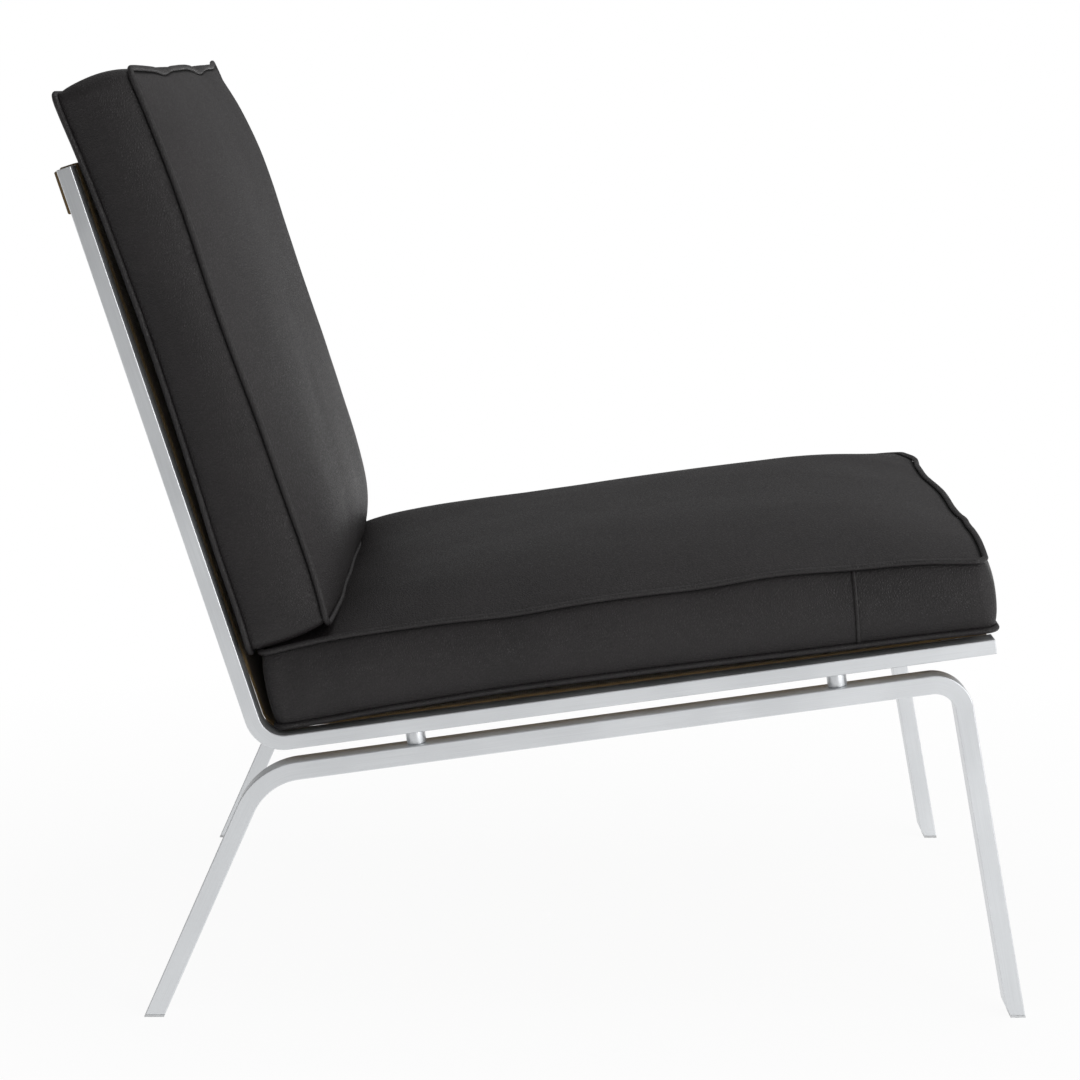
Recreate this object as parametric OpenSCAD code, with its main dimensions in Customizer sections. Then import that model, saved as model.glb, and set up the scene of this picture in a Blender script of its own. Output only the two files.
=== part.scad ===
// Lounge chair: two bent steel rails carry a canvas sling, two bent steel leg frames carry the rails on
// round spacers, and two loose box cushions with piped edges lie on the sling.
// The sitter faces -Y. The origin is on the floor, under the middle of the whole chair.

/* [Side rails] */
// Width of the chair over the outer faces of the rails
frame_w = 600; // [500:10:720]
// Height of the seat rail's upper front corner above the floor
rail_front_h = 317; // [280:1:360]
// Angle of the seat above the horizontal, rising to the front
seat_pitch = 7.9; // [4:0.1:12]
// Angle of the back from the vertical
back_recline = 17.7; // [12:0.1:24]
// Length of the seat rail from the outer corner of the bend
seat_rail_l = 605.5; // [560:0.5:680]
// Length of the back rail from the outer corner of the bend
back_rail_l = 494; // [420:1:560]
// Thickness of the rail, seen from the side
rail_t = 12; // [10:0.5:16]
// Width of the rail, across the chair
rail_w = 25; // [20:1:32]
// Inner radius of the bend between seat and back
rail_bend_r = 20; // [16:1:30]

/* [Cross bars] */
// Height of the flat cross bars at the top and the front
cross_bar_h = 36; // [24:1:50]
// Diameter of the round cross bar in the bend
bend_bar_d = 10; // [8:0.5:10]
// How far the front cross bar stays behind the end of the rails
front_bar_inset = 5; // [3:0.5:12]

/* [Leg frames] */
// Thickness of the leg bar, seen from the side
leg_t = 15; // [12:0.5:20]
// Length of the leg frame's upper bar between the outer corners of its bends
leg_bar_l = 586.5; // [540:0.5:640]
// How far the rear corner of the leg frame lies behind the corner of the rail
leg_rear_offset = 3.3; // [0:0.1:10]
// Angle of the rear leg from the vertical
rear_splay = 24; // [16:0.5:30]
// Angle of the front leg from the vertical
front_splay = 10; // [4:0.5:16]
// Inner radius of the rear leg's bend
rear_bend_r = 48; // [30:1:60]
// Inner radius of the front leg's bend
front_bend_r = 17; // [12:1:30]
// Length of the chamfer up the back of the front foot
foot_chamfer_h = 8; // [4:0.5:12]
// Depth of that chamfer
foot_chamfer_d = 3; // [1:0.5:5]

/* [Spacers and screws] */
// Diameter of the spacers between rail and leg frame
spacer_d = 16; // [12:0.5:18]
// Length of the spacers
spacer_l = 11; // [8:0.5:20]
// Distance of each spacer from the corner and from the front end of the rail
spacer_inset = 130; // [100:5:180]
// Diameter of the screw's shank
screw_d = 6; // [5:0.5:7]
// Diameter of the countersunk head
screw_head_d = 12; // [10:0.5:12]
// Height of the countersunk head
screw_head_h = 3.3; // [2.5:0.1:4]
// Width across the corners of the screw's hexagon socket
screw_socket_d = 4.6; // [3:0.1:4.6]
// Depth of the hexagon socket
screw_socket_h = 2.2; // [1.5:0.1:2.4]
// How deep the screw reaches into the rail
screw_grip = 8; // [6:0.5:8]
// Clearance round the screw in the leg bar and the spacer
screw_clearance = 0.3; // [0.1:0.05:0.5]

/* [Glides] */
// Height of the glide under each foot
glide_h = 2; // [1.5:0.5:4]
// Diameter of the glide's stem, pressed into the foot
glide_stem_d = 6; // [4:0.5:8]
// Length of the stem
glide_stem_l = 10; // [6:1:16]

/* [Sling] */
// Thickness of the woven canvas
sling_t = 1.5; // [1:0.1:2.5]
// Layers of canvas in the hems behind the top bar and under the front bar
hem_layers = 3; // [2:1:4]
// Clearance between the edge of the canvas and the rail on each side
sling_side_gap = 0.5; // [0.3:0.1:3]
// Wall of the canvas loop that ties the sling to the bar in the bend
loop_t = 1.2; // [0.8:0.1:1.5]

/* [Cushions] */
// Width of both cushions over the piping
cushion_w = 592; // [480:2:640]
// How far the seat cushion stands out in front of the ends of the rails
seat_overhang = 2; // [0:0.5:20]
// How far the seat cushion stays in front of the rail's outer corner
seat_cushion_start = 17.5; // [15:0.5:30]
// Height of the back cushion over the piping
back_cushion_l = 473; // [400:1:540]
// Height of the seat cushion's upper seam above the canvas, at its corners
seat_seam_h = 65.5; // [55:0.5:80]
// Height of the back cushion's front seam above the canvas, at its corners
back_seam_h = 67; // [55:0.5:80]
// Height of the seam next to the canvas, at the corners
low_seam_h = 8; // [6:0.5:12]
// Rise of the outer seam between the corners
seam_lift = 8; // [0:0.5:12]
// Rise of the seam next to the canvas between the corners
low_seam_lift = 2.5; // [0:0.5:5]
// Crown of the seat's top panel above its seam
seat_crown = 28; // [15:1:35]
// Crown of the back's front panel above its seam
back_crown = 23; // [15:1:40]
// Radius of the cushions' corners, seen from above
cushion_corner_r = 12; // [8:1:20]
// How far the sides pull in between the corners
side_pull = 3; // [0:0.5:6]
// How far the side panels puff out between the seams
boxing_puff = 2; // [0:0.5:2.4]
// Diameter of the piping
piping_d = 5; // [4:0.5:7]
// Thickness of the leather with its lining
leather_t = 2; // [1.5:0.1:3]
// Length of the zip
zip_l = 440; // [360:10:460]
// Width of the zip's tape
zip_w = 14; // [10:1:18]
// Thickness of the zip's tape
zip_t = 0.8; // [0.5:0.1:1]

/* [Clearances] */
// Clearance under and between the cushions
rest_gap = 0.3; // [0.2:0.05:0.5]
// Clearance between the piping and the groove that it lies in
piping_gap = 0.4; // [0.3:0.05:0.6]
// Clearance between the foam core and its cover
foam_gap = 0.3; // [0.2:0.05:0.5]
// Clearance round the bar in its canvas loop, and round the screws' threads
slip_gap = 0.05; // [0.05:0.01:0.15]

/* [Hidden] */

steel = [0.78, 0.79, 0.80];
canvas = [0.36, 0.27, 0.16];
leather = [0.09, 0.09, 0.09];
foam = [0.90, 0.86, 0.70];
black_plastic = [0.12, 0.12, 0.12];
pale_nylon = [0.70, 0.71, 0.72];

overrun = 1;
// Straight steps that stand for the curve of each bend
bend_steps = 24;
$fn = 48;

// Directions in the side view, where x runs forward and y runs up
back_angle = 90 + back_recline;
rear_leg_angle = 270 - rear_splay;
front_leg_angle = 270 + front_splay;
bend_turn = 90 + seat_pitch - back_recline;
rear_turn = 90 - rear_splay - seat_pitch;
front_turn = 90 - front_splay + seat_pitch;

function along(angle) = [cos(angle), sin(angle)];
function across(angle) = [-sin(angle), cos(angle)];

// Distance from a bend's outer corner to where the straight bar begins
function bend_run(outer_r, turn) = outer_r * tan(turn / 2);
rail_run = bend_run(rail_bend_r + rail_t, bend_turn);
rear_run = bend_run(rear_bend_r + leg_t, rear_turn);
front_run = bend_run(front_bend_r + leg_t, front_turn);

// Outer corners of the three bends, in the side view
rail_corner = [0, rail_front_h - seat_rail_l * sin(seat_pitch) - rail_t * cos(seat_pitch)];
rear_corner = rail_corner - spacer_l * across(seat_pitch) - leg_rear_offset * along(seat_pitch);
front_corner = rear_corner + leg_bar_l * along(seat_pitch);
rail_bend_centre = rail_corner + rail_run * along(seat_pitch)
    + (rail_bend_r + rail_t) * across(seat_pitch);

// Heights above the undersides of the rails
canvas_top = rail_t + sling_t;
hem_t = hem_layers * sling_t;
cushion_rest = canvas_top + rest_gap;

// Length of the seat cushion over the piping
seat_cushion_l = seat_rail_l + seat_overhang - seat_cushion_start;

// Reach of the chair in front of and behind the rail's corner, which centres it on the origin
front_foot_reach = front_corner.x + front_corner.y * tan(front_splay);
seat_cushion_reach = (seat_cushion_start + seat_cushion_l) * cos(seat_pitch);
hem_reach = (back_rail_l + sling_t) * sin(back_recline) + hem_t * cos(back_recline);
front_reach = max(front_foot_reach, seat_cushion_reach);
corner_y = (front_reach - hem_reach) / 2;

rail_inner_x = frame_w / 2 - rail_w;

// Puts a side view in place, with its lateral thickness running inwards or outwards from x to -X
module side_view(x) {
    translate([x, corner_y, 0]) rotate([90, 0, -90]) children();
}

module left_side() {
    side_view(frame_w / 2) children();
}

module right_side() {
    side_view(-rail_inner_x) children();
}

function arc(centre, r, from, to) =
    [for (k = [0:bend_steps]) centre + r * along(from + (to - from) * k / bend_steps)];

// Points of the side view at a distance from the rail's corner and a height above its underside
function on_seat(s, h) = rail_corner + s * along(seat_pitch) + h * across(seat_pitch);
function on_back(s, h) = rail_corner + s * along(back_angle) - h * across(back_angle);

// Curve round the bend of the rail, from the back to the seat
function rail_curve(r) = arc(rail_bend_centre, r, back_angle + 90, back_angle + 90 + bend_turn);
function reversed(points) = [for (k = [len(points) - 1:-1:0]) points[k]];

// Places children at a spacer, with z running up along it from the leg bar's underside
module at_spacer(distance) {
    p = on_seat(distance, -spacer_l - leg_t);
    translate([p.x, p.y, rail_w / 2]) rotate(seat_pitch) rotate([-90, 0, 0]) children();
}

rear_spacer_s = spacer_inset;
front_spacer_s = seat_rail_l - spacer_inset;
spacer_distances = [rear_spacer_s, front_spacer_s];

module rail() {
    difference() {
        linear_extrude(rail_w) polygon(concat(
            [on_back(back_rail_l, 0)], rail_curve(rail_bend_r + rail_t), [on_seat(seat_rail_l, 0)],
            [on_seat(seat_rail_l, rail_t)], reversed(rail_curve(rail_bend_r)),
            [on_back(back_rail_l, rail_t)]));
        for (d = spacer_distances) at_spacer(d)
            translate([0, 0, leg_t + spacer_l - overrun])
                cylinder(d = screw_d + 2 * slip_gap, h = screw_grip + 2 * overrun);
    }
}

// Outer and inner edge of each leg at a height above the floor
function rear_outer(h) = rear_corner + (rear_corner.y - h) / cos(rear_splay) * along(rear_leg_angle);
function rear_inner(h) = rear_outer(h) + [leg_t / cos(rear_splay), 0];
function front_outer(h) = front_corner + (front_corner.y - h) / cos(front_splay) * along(front_leg_angle);
function front_inner(h) = front_outer(h) - [leg_t / cos(front_splay), 0];
function front_heel(h) = front_inner(h) + [foot_chamfer_d, 0];

rear_bend_centre = rear_corner + rear_run * along(seat_pitch)
    - (rear_bend_r + leg_t) * across(seat_pitch);
front_bend_centre = front_corner - front_run * along(seat_pitch)
    - (front_bend_r + leg_t) * across(seat_pitch);
function rear_curve(r) = arc(rear_bend_centre, r, 90 + seat_pitch + rear_turn, 90 + seat_pitch);
function front_curve(r) = arc(front_bend_centre, r, 90 + seat_pitch, 90 + seat_pitch - front_turn);

// Places children on the middle line of a leg, at floor level, with z running up along the leg
module at_foot(corner, angle, side) {
    p = corner + corner.y / abs(sin(angle)) * along(angle) + side * leg_t / 2 * across(angle);
    translate([p.x, p.y, rail_w / 2]) rotate(angle + 180) rotate([0, 90, 0]) children();
}

module at_rear_foot() {
    at_foot(rear_corner, rear_leg_angle, 1) children();
}

module at_front_foot() {
    at_foot(front_corner, front_leg_angle, -1) children();
}

module glide_stem(clearance) {
    cylinder(d = glide_stem_d, h = glide_h + glide_stem_l + clearance);
}

module leg_frame() {
    difference() {
        linear_extrude(rail_w) polygon(concat(
            [rear_outer(glide_h)], rear_curve(rear_bend_r + leg_t), front_curve(front_bend_r + leg_t),
            [front_outer(glide_h), front_heel(glide_h), front_inner(glide_h + foot_chamfer_h)],
            reversed(front_curve(front_bend_r)), reversed(rear_curve(rear_bend_r)),
            [rear_inner(glide_h)]));
        at_rear_foot() glide_stem(slip_gap);
        at_front_foot() glide_stem(slip_gap);
        for (d = spacer_distances) at_spacer(d) {
            translate([0, 0, -overrun])
                cylinder(d = screw_d + 2 * screw_clearance, h = leg_t + 2 * overrun);
            cylinder(d1 = screw_head_d + 2 * slip_gap, d2 = screw_d + 2 * slip_gap, h = screw_head_h);
        }
    }
}

module spacer(distance) {
    at_spacer(distance) translate([0, 0, leg_t]) difference() {
        cylinder(d = spacer_d, h = spacer_l);
        translate([0, 0, -overrun])
            cylinder(d = screw_d + 2 * screw_clearance, h = spacer_l + 2 * overrun);
    }
}

module left_rear_spacer() {
    color(steel) left_side() spacer(rear_spacer_s);
}

module left_front_spacer() {
    color(steel) left_side() spacer(front_spacer_s);
}

module right_rear_spacer() {
    color(steel) right_side() spacer(rear_spacer_s);
}

module right_front_spacer() {
    color(steel) right_side() spacer(front_spacer_s);
}

// Countersunk screw from the underside of the leg bar, through the spacer, into the rail
module screw() {
    difference() {
        union() {
            cylinder(d1 = screw_head_d, d2 = screw_d, h = screw_head_h);
            cylinder(d = screw_d, h = leg_t + spacer_l + screw_grip);
        }
        translate([0, 0, -overrun]) cylinder(d = screw_socket_d, h = screw_socket_h + overrun, $fn = 6);
    }
}

module frame_screws() {
    color(steel) {
        for (d = spacer_distances) {
            left_side() at_spacer(d) screw();
            right_side() at_spacer(d) screw();
        }
    }
}

module left_rail() {
    color(steel) left_side() rail();
}

module right_rail() {
    color(steel) right_side() rail();
}

module left_leg_frame() {
    color(steel) left_side() leg_frame();
}

module right_leg_frame() {
    color(steel) right_side() leg_frame();
}

// A glide is a pad of the leg's own section with a stem pressed into the foot. The slanted end of
// the stem is taken off below the middle of the pad.
module glide(outline) {
    linear_extrude(rail_w) polygon(outline);
    difference() {
        children();
        translate([outline[0].x - 2 * leg_t, glide_h / 2 - leg_t, -overrun])
            cube([4 * leg_t, leg_t, rail_w + 2 * overrun]);
    }
}

module rear_glide() {
    glide([rear_outer(0), rear_inner(0), rear_inner(glide_h), rear_outer(glide_h)])
        at_rear_foot() glide_stem(0);
}

module front_glide() {
    glide([front_outer(0), front_heel(0), front_heel(glide_h), front_outer(glide_h)])
        at_front_foot() glide_stem(0);
}

module left_rear_glide() {
    color(pale_nylon) left_side() rear_glide();
}

module left_front_glide() {
    color(pale_nylon) left_side() front_glide();
}

module right_rear_glide() {
    color(pale_nylon) right_side() rear_glide();
}

module right_front_glide() {
    color(pale_nylon) right_side() front_glide();
}

// A piece that runs straight across the chair, from its outline in the side view
module across_chair(outline, half_w) {
    side_view(half_w) linear_extrude(2 * half_w) polygon(outline);
}

module top_cross_bar() {
    from = back_rail_l - cross_bar_h;
    color(steel) across_chair([on_back(from, 0), on_back(back_rail_l, 0), on_back(back_rail_l, rail_t),
        on_back(from, rail_t)], rail_inner_x);
}

front_bar_end = seat_rail_l - front_bar_inset;

module front_cross_bar() {
    from = front_bar_end - cross_bar_h;
    color(steel) across_chair([on_seat(from, 0), on_seat(front_bar_end, 0), on_seat(front_bar_end, rail_t),
        on_seat(from, rail_t)], rail_inner_x);
}

// The round bar lies in its loop, just inside the bend of the canvas
loop_outer_r = bend_bar_d / 2 + slip_gap + loop_t;

module at_bend_bar(half_w) {
    p = rail_bend_centre
        + (rail_bend_r + slip_gap + loop_outer_r) * along(back_angle + 90 + bend_turn / 2);
    side_view(half_w) translate([p.x, p.y, 0]) children();
}

module bend_cross_bar() {
    color(steel) at_bend_bar(rail_inner_x) cylinder(d = bend_bar_d, h = 2 * rail_inner_x);
}

sling_half_w = rail_inner_x - sling_side_gap;

module sling_tie_loop() {
    color(canvas) at_bend_bar(sling_half_w) difference() {
        cylinder(r = loop_outer_r, h = 2 * sling_half_w);
        translate([0, 0, -overrun])
            cylinder(r = loop_outer_r - loop_t, h = 2 * (sling_half_w + overrun));
    }
}

// One canvas panel over the bars, with a sleeve round the top bar and one round the front bar
module canvas_sling() {
    top = back_rail_l + sling_t;
    top_hem = back_rail_l - cross_bar_h - sling_t;
    front = front_bar_end + sling_t;
    front_hem = front_bar_end - cross_bar_h - sling_t;
    color(canvas) difference() {
        across_chair(concat(
            [on_back(top, canvas_top)], rail_curve(rail_bend_r - sling_t),
            [on_seat(front, canvas_top), on_seat(front, -hem_t), on_seat(front_hem, -hem_t),
                on_seat(front_hem, rail_t)],
            reversed(rail_curve(rail_bend_r)),
            [on_back(top_hem, rail_t), on_back(top_hem, -hem_t), on_back(top, -hem_t)]), sling_half_w);
        top_cross_bar();
        front_cross_bar();
    }
}

// Numbers of steps round a cushion's corner and along its side
corner_steps = 3;
side_steps = 7;
ring_n = 4 * (corner_steps + side_steps);

piping_r = piping_d / 2;
// The groove round the piping is a half octagon, so its corners lie a little further out
groove_r = (piping_r + piping_gap) / cos(22.5);
half_w = cushion_w / 2;

// How late a surface falls away towards a side: 2 is round all over, 8 is flat up to the edge
soft_power = 2;
crown_power = 4;
rest_power = 6;
flat_power = 8;

// A cushion is [half length, upper seam height, crown, side with the zip, crown power towards that
// side, share of the seam's lift that is pressed away there] in its own frame: x across the chair,
// y along the cushion, z off the canvas. The seat's zip faces the back (+y), where the back cushion
// presses it down, and the back's zip faces the seat (-y).
seat_cushion = [seat_cushion_l / 2, seat_seam_h - rest_gap, seat_crown, 1, soft_power, 0.6];
back_cushion = [back_cushion_l / 2, back_seam_h - rest_gap, back_crown, -1, crown_power, 0];
function half_l(c) = c[0];
function seam_h(c) = c[1];
function crown_h(c) = c[2];
function zip_side(c) = c[3];
function zip_power(c) = c[4];
function press_share(c) = c[5];

function arc_centre(hw, hl, r, q) = [(q % 4 == 0 || q % 4 == 3 ? 1 : -1) * (hw - r),
    (q % 4 < 2 ? 1 : -1) * (hl - r)];

// Rounded rectangle, counter-clockwise, with the same number of points at every size
function plan(hw, hl, r) = [for (q = [0:3], k = [0:corner_steps + side_steps - 1])
    k <= corner_steps
        ? arc_centre(hw, hl, r, q) + r * along(90 * (q + k / corner_steps))
        : let (t = (k - corner_steps) / side_steps)
            (1 - t) * arc_centre(hw, hl, r, q) + t * arc_centre(hw, hl, r, q + 1)
            + r * along(90 * (q + 1))];

// From nil in the middle to 1 at the sides, and the other way round
function rise(t, power) = pow(min(1, abs(t)), power);
function fall(t, power) = 1 - rise(t, power);

// Outward unit push at a point of the rim, nil at the corners and on the side with the zip
function side_push(c, p) = let (u = p.x / half_w, v = p.y / half_l(c))
    [sign(u) * rise(u, flat_power) * fall(v, crown_power),
        v * zip_side(c) > 0 ? 0 : sign(v) * rise(v, flat_power) * fall(u, crown_power)];

// Rim of the cushion at an inset, pushed out by a length between the corners
function rim(c, inset, push) =
    [for (p = plan(half_w - inset, half_l(c) - inset, max(cushion_corner_r - inset, leather_t)))
        p + push * side_push(c, p)];

// The seams lie low at the corners and rise between them
function lift_at(c, p) = let (u = p.x / half_w, v = p.y / half_l(c),
        least = v * zip_side(c) > 0 ? press_share(c) : 0)
    1 - max(rise(u, crown_power), least) * rise(v, crown_power);
function upper_seam(c, p) = seam_h(c) + seam_lift * lift_at(c, p);
function lower_seam(c, p) = low_seam_h - rest_gap + low_seam_lift * lift_at(c, p);

// Heights of the two panels over a point
function top_z(c, p) = let (v = p.y / half_l(c)) upper_seam(c, p)
    + crown_h(c) * fall(p.x / half_w, crown_power)
        * fall(v, v * zip_side(c) > 0 ? zip_power(c) : crown_power);
function bottom_z(c, p) = max(0, lower_seam(c, p)
    - 2 * low_seam_h * fall(p.x / half_w, rest_power) * fall(p.y / half_l(c), rest_power));

function shrink(points, s) = [for (p = points) s * p];
function at_height(points, z) = [for (p = points) [p.x, p.y, z]];
function on_top(c, points, off) = [for (p = points) [p.x, p.y, top_z(c, p) + off]];
function on_bottom(c, points, off) = [for (p = points) [p.x, p.y, bottom_z(c, p) + off]];
function at_upper(c, points, off) = [for (p = points) [p.x, p.y, upper_seam(c, p) + off]];
function at_lower(c, points, off) = [for (p = points) [p.x, p.y, lower_seam(c, p) + off]];
function at_middle(c, points) = [for (p = points)
    [p.x, p.y, (upper_seam(c, p) + lower_seam(c, p)) / 2]];

// Shares of the panel's width at which the surfaces have their rings of points
cover_top_shares = [0.94, 0.84, 0.66, 0.38];
cover_bottom_shares = [0.45, 0.8, 0.93];
foam_top_shares = [0.84, 0.38];
foam_bottom_shares = [0.8];
groove_share = sin(45);

// Rings of the leather cover's outside, from the middle of the bottom to the middle of the top
function cover_rings(c) = let (face = rim(c, piping_r, -side_pull),
        deep = rim(c, piping_r + groove_share * groove_r, -side_pull),
        panel = rim(c, piping_r + groove_r, -side_pull))
    concat(
        [for (s = cover_bottom_shares) on_bottom(c, shrink(panel, s), 0)],
        [at_lower(c, panel, 0), at_lower(c, deep, groove_share * groove_r), at_lower(c, face, groove_r),
            at_middle(c, rim(c, piping_r, boxing_puff - side_pull)),
            at_upper(c, face, -groove_r), at_upper(c, deep, -groove_share * groove_r),
            on_top(c, panel, 0)],
        [for (k = [0:len(cover_top_shares) - 1]) on_top(c, shrink(panel, cover_top_shares[k]), 0)]);

// Rings of a surface inside the cover, at a depth of the leather or of leather and clearance
function core_rings(c, depth) = let (face = rim(c, piping_r + depth, -side_pull),
        panel = rim(c, piping_r + groove_r + depth, -side_pull))
    concat(
        [for (s = foam_bottom_shares) on_bottom(c, shrink(panel, s), depth)],
        [at_lower(c, panel, depth), at_lower(c, face, groove_r + depth),
            at_middle(c, rim(c, piping_r + depth, boxing_puff - side_pull)),
            at_upper(c, face, -groove_r - depth), at_upper(c, panel, -depth)],
        [for (s = foam_top_shares) on_top(c, shrink(panel, s), -depth)]);

// Triangles between ring k and the next, and the fans that close the two ends
function band(k, next) = [for (i = [0:ring_n - 1]) let (j = (i + 1) % ring_n,
        a = k * ring_n + i, b = k * ring_n + j, d = next * ring_n + i, e = next * ring_n + j)
    each [[a, e, b], [a, d, e]]];

module closed_form(rings, bottom, top) {
    n = len(rings);
    points = concat([for (ring = rings, p = ring) p], [bottom, top]);
    faces = concat(
        [for (k = [0:n - 2]) each band(k, k + 1)],
        [for (i = [0:ring_n - 1]) [n * ring_n, i, (i + 1) % ring_n]],
        [for (i = [0:ring_n - 1])
            [n * ring_n + 1, (n - 1) * ring_n + (i + 1) % ring_n, (n - 1) * ring_n + i]]);
    polyhedron(points, faces, convexity = 4);
}

module core(c, depth) {
    closed_form(core_rings(c, depth), [0, 0, bottom_z(c, [0, 0]) + depth],
        [0, 0, top_z(c, [0, 0]) - depth]);
}

module cover(c) {
    difference() {
        closed_form(cover_rings(c), [0, 0, bottom_z(c, [0, 0])], [0, 0, top_z(c, [0, 0])]);
        core(c, leather_t);
    }
}

// Closed loop of piping along a seam
piping_sides = 6;

module piping(c, upper) {
    rings = [for (k = [0:piping_sides - 1]) let (phi = k * 360 / piping_sides,
            points = rim(c, piping_r * (1 - cos(phi)), -side_pull))
        upper ? at_upper(c, points, piping_r * sin(phi)) : at_lower(c, points, piping_r * sin(phi))];
    polyhedron([for (ring = rings, p = ring) p],
        [for (k = [0:piping_sides - 1]) each band(k, (k + 1) % piping_sides)], convexity = 6);
}

// Zip on the flat side panel: a woven tape with its closed row of teeth
zip_teeth_w = 5;
zip_teeth_t = 0.5;
slider_l = 14;
slider_w = 9;
slider_t = 0.6;

// Places children in the middle of the panel with the zip, with z pointing out of it
module at_zip(c) {
    middle = [0, zip_side(c) * half_l(c)];
    translate([0, zip_side(c) * (half_l(c) - piping_r + foam_gap),
        (upper_seam(c, middle) + lower_seam(c, middle)) / 2])
        rotate([-zip_side(c) * 90, 0, 0]) children();
}

module zip(c) {
    at_zip(c) {
        translate([-zip_l / 2, -zip_w / 2, 0]) cube([zip_l, zip_w, zip_t]);
        translate([-zip_l / 2, -zip_teeth_w / 2, 0]) cube([zip_l, zip_teeth_w, zip_t + zip_teeth_t]);
    }
}

module zip_slider(c) {
    at_zip(c) translate([zip_l / 2 - slider_l, -slider_w / 2, zip_t + zip_teeth_t])
        cube([slider_l, slider_w, slider_t]);
}

// The seat cushion's frame: its middle on the canvas, y running down to the rear
module at_seat_cushion() {
    s = seat_cushion_start + seat_cushion_l / 2;
    p = rail_corner + s * along(seat_pitch) + cushion_rest * across(seat_pitch);
    translate([0, corner_y - p.x, p.y]) rotate([-seat_pitch, 0, 0]) children();
}

// Side view of a point of the seat cushion's top on the middle line of the chair
function seat_top_point(y, z) = rail_corner
    + (seat_cushion_start + seat_cushion_l / 2 - y) * along(seat_pitch)
    + (cushion_rest + z) * across(seat_pitch);

// The back cushion is set down on the highest part of the seat cushion under it
contact_steps = 24;
contact_reach = cushion_rest + back_seam_h + low_seam_h;
seat_tops = [for (k = [0:contact_steps]) let (y = half_l(seat_cushion) * (1 - k / contact_steps))
    seat_top_point(y, k == 0 ? upper_seam(seat_cushion, [0, y]) + piping_r : top_z(seat_cushion, [0, y]))
        - rail_corner];
seat_seam_top = seat_top_point(half_l(seat_cushion) - piping_r,
    upper_seam(seat_cushion, [0, half_l(seat_cushion)]) + piping_r) - rail_corner;
back_start = max([for (p = concat(seat_tops, [seat_seam_top]))
    p * -across(back_angle) < contact_reach ? p * along(back_angle) : 0]) + rest_gap;

module at_back_cushion() {
    s = back_start + back_cushion_l / 2;
    p = rail_corner + s * along(back_angle) - cushion_rest * across(back_angle);
    translate([0, corner_y - p.x, p.y]) rotate([90 - back_recline, 0, 0]) children();
}

module seat_cover() {
    color(leather) at_seat_cushion() cover(seat_cushion);
}

module seat_foam() {
    color(foam) at_seat_cushion() core(seat_cushion, leather_t + foam_gap);
}

module seat_upper_piping() {
    color(leather) at_seat_cushion() piping(seat_cushion, true);
}

module seat_lower_piping() {
    color(leather) at_seat_cushion() piping(seat_cushion, false);
}

module seat_zip() {
    color(black_plastic) at_seat_cushion() zip(seat_cushion);
}

module seat_zip_slider() {
    color(steel) at_seat_cushion() zip_slider(seat_cushion);
}

module back_cover() {
    color(leather) at_back_cushion() cover(back_cushion);
}

module back_foam() {
    color(foam) at_back_cushion() core(back_cushion, leather_t + foam_gap);
}

module back_front_piping() {
    color(leather) at_back_cushion() piping(back_cushion, true);
}

module back_rear_piping() {
    color(leather) at_back_cushion() piping(back_cushion, false);
}

module back_zip() {
    color(black_plastic) at_back_cushion() zip(back_cushion);
}

module back_zip_slider() {
    color(steel) at_back_cushion() zip_slider(back_cushion);
}

left_rail();
right_rail();
top_cross_bar();
bend_cross_bar();
front_cross_bar();
left_leg_frame();
right_leg_frame();
left_rear_spacer();
left_front_spacer();
right_rear_spacer();
right_front_spacer();
frame_screws();
left_rear_glide();
left_front_glide();
right_rear_glide();
right_front_glide();
canvas_sling();
sling_tie_loop();
seat_cover();
seat_foam();
seat_upper_piping();
seat_lower_piping();
seat_zip();
seat_zip_slider();
back_cover();
back_foam();
back_front_piping();
back_rear_piping();
back_zip();
back_zip_slider();
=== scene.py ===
# %% [markdown]
# # A lounge chair of flat steel bar, canvas and leather
# The chair is three kinds of work put together. A smith bends flat bars into two rails and two leg
# frames. A sailmaker sews one canvas panel that is stretched between the bars. An upholsterer makes
# two loose box cushions with piped edges. This file follows the same order, and each part of it
# shows how one trade's work can be made as a mesh.
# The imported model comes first. It is the fixed frame that every piece is set against, so its box
# is noted before anything is added.

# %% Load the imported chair
import math
import bmesh
import bpy
import numpy as np
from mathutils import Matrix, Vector, noise
from mathutils.bvhtree import BVHTree


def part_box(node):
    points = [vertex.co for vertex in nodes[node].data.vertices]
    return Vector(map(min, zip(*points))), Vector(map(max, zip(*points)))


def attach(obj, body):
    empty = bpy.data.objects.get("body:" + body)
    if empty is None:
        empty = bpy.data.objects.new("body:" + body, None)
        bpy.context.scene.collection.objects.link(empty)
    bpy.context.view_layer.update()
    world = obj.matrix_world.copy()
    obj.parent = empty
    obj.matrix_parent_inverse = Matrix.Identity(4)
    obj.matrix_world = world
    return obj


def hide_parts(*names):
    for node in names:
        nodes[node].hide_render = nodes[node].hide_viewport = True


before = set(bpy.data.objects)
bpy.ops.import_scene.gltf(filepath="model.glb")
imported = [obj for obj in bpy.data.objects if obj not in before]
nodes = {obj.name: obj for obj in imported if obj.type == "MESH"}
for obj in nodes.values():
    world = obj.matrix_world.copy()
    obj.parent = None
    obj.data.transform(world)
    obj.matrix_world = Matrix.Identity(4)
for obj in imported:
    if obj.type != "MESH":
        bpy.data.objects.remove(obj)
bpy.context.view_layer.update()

scene = bpy.context.scene

# %% [markdown]
# ## The side view
# Nearly every shape of this chair can be drawn once from the side and then made as wide as it is.
# So there is one small set of helpers for the side view. A side view point is how far it lies in
# front of the rail's lower corner, and its height above the floor. The corner's place in the room
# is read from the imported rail, so the pieces made here can't drift away from it.

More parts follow.
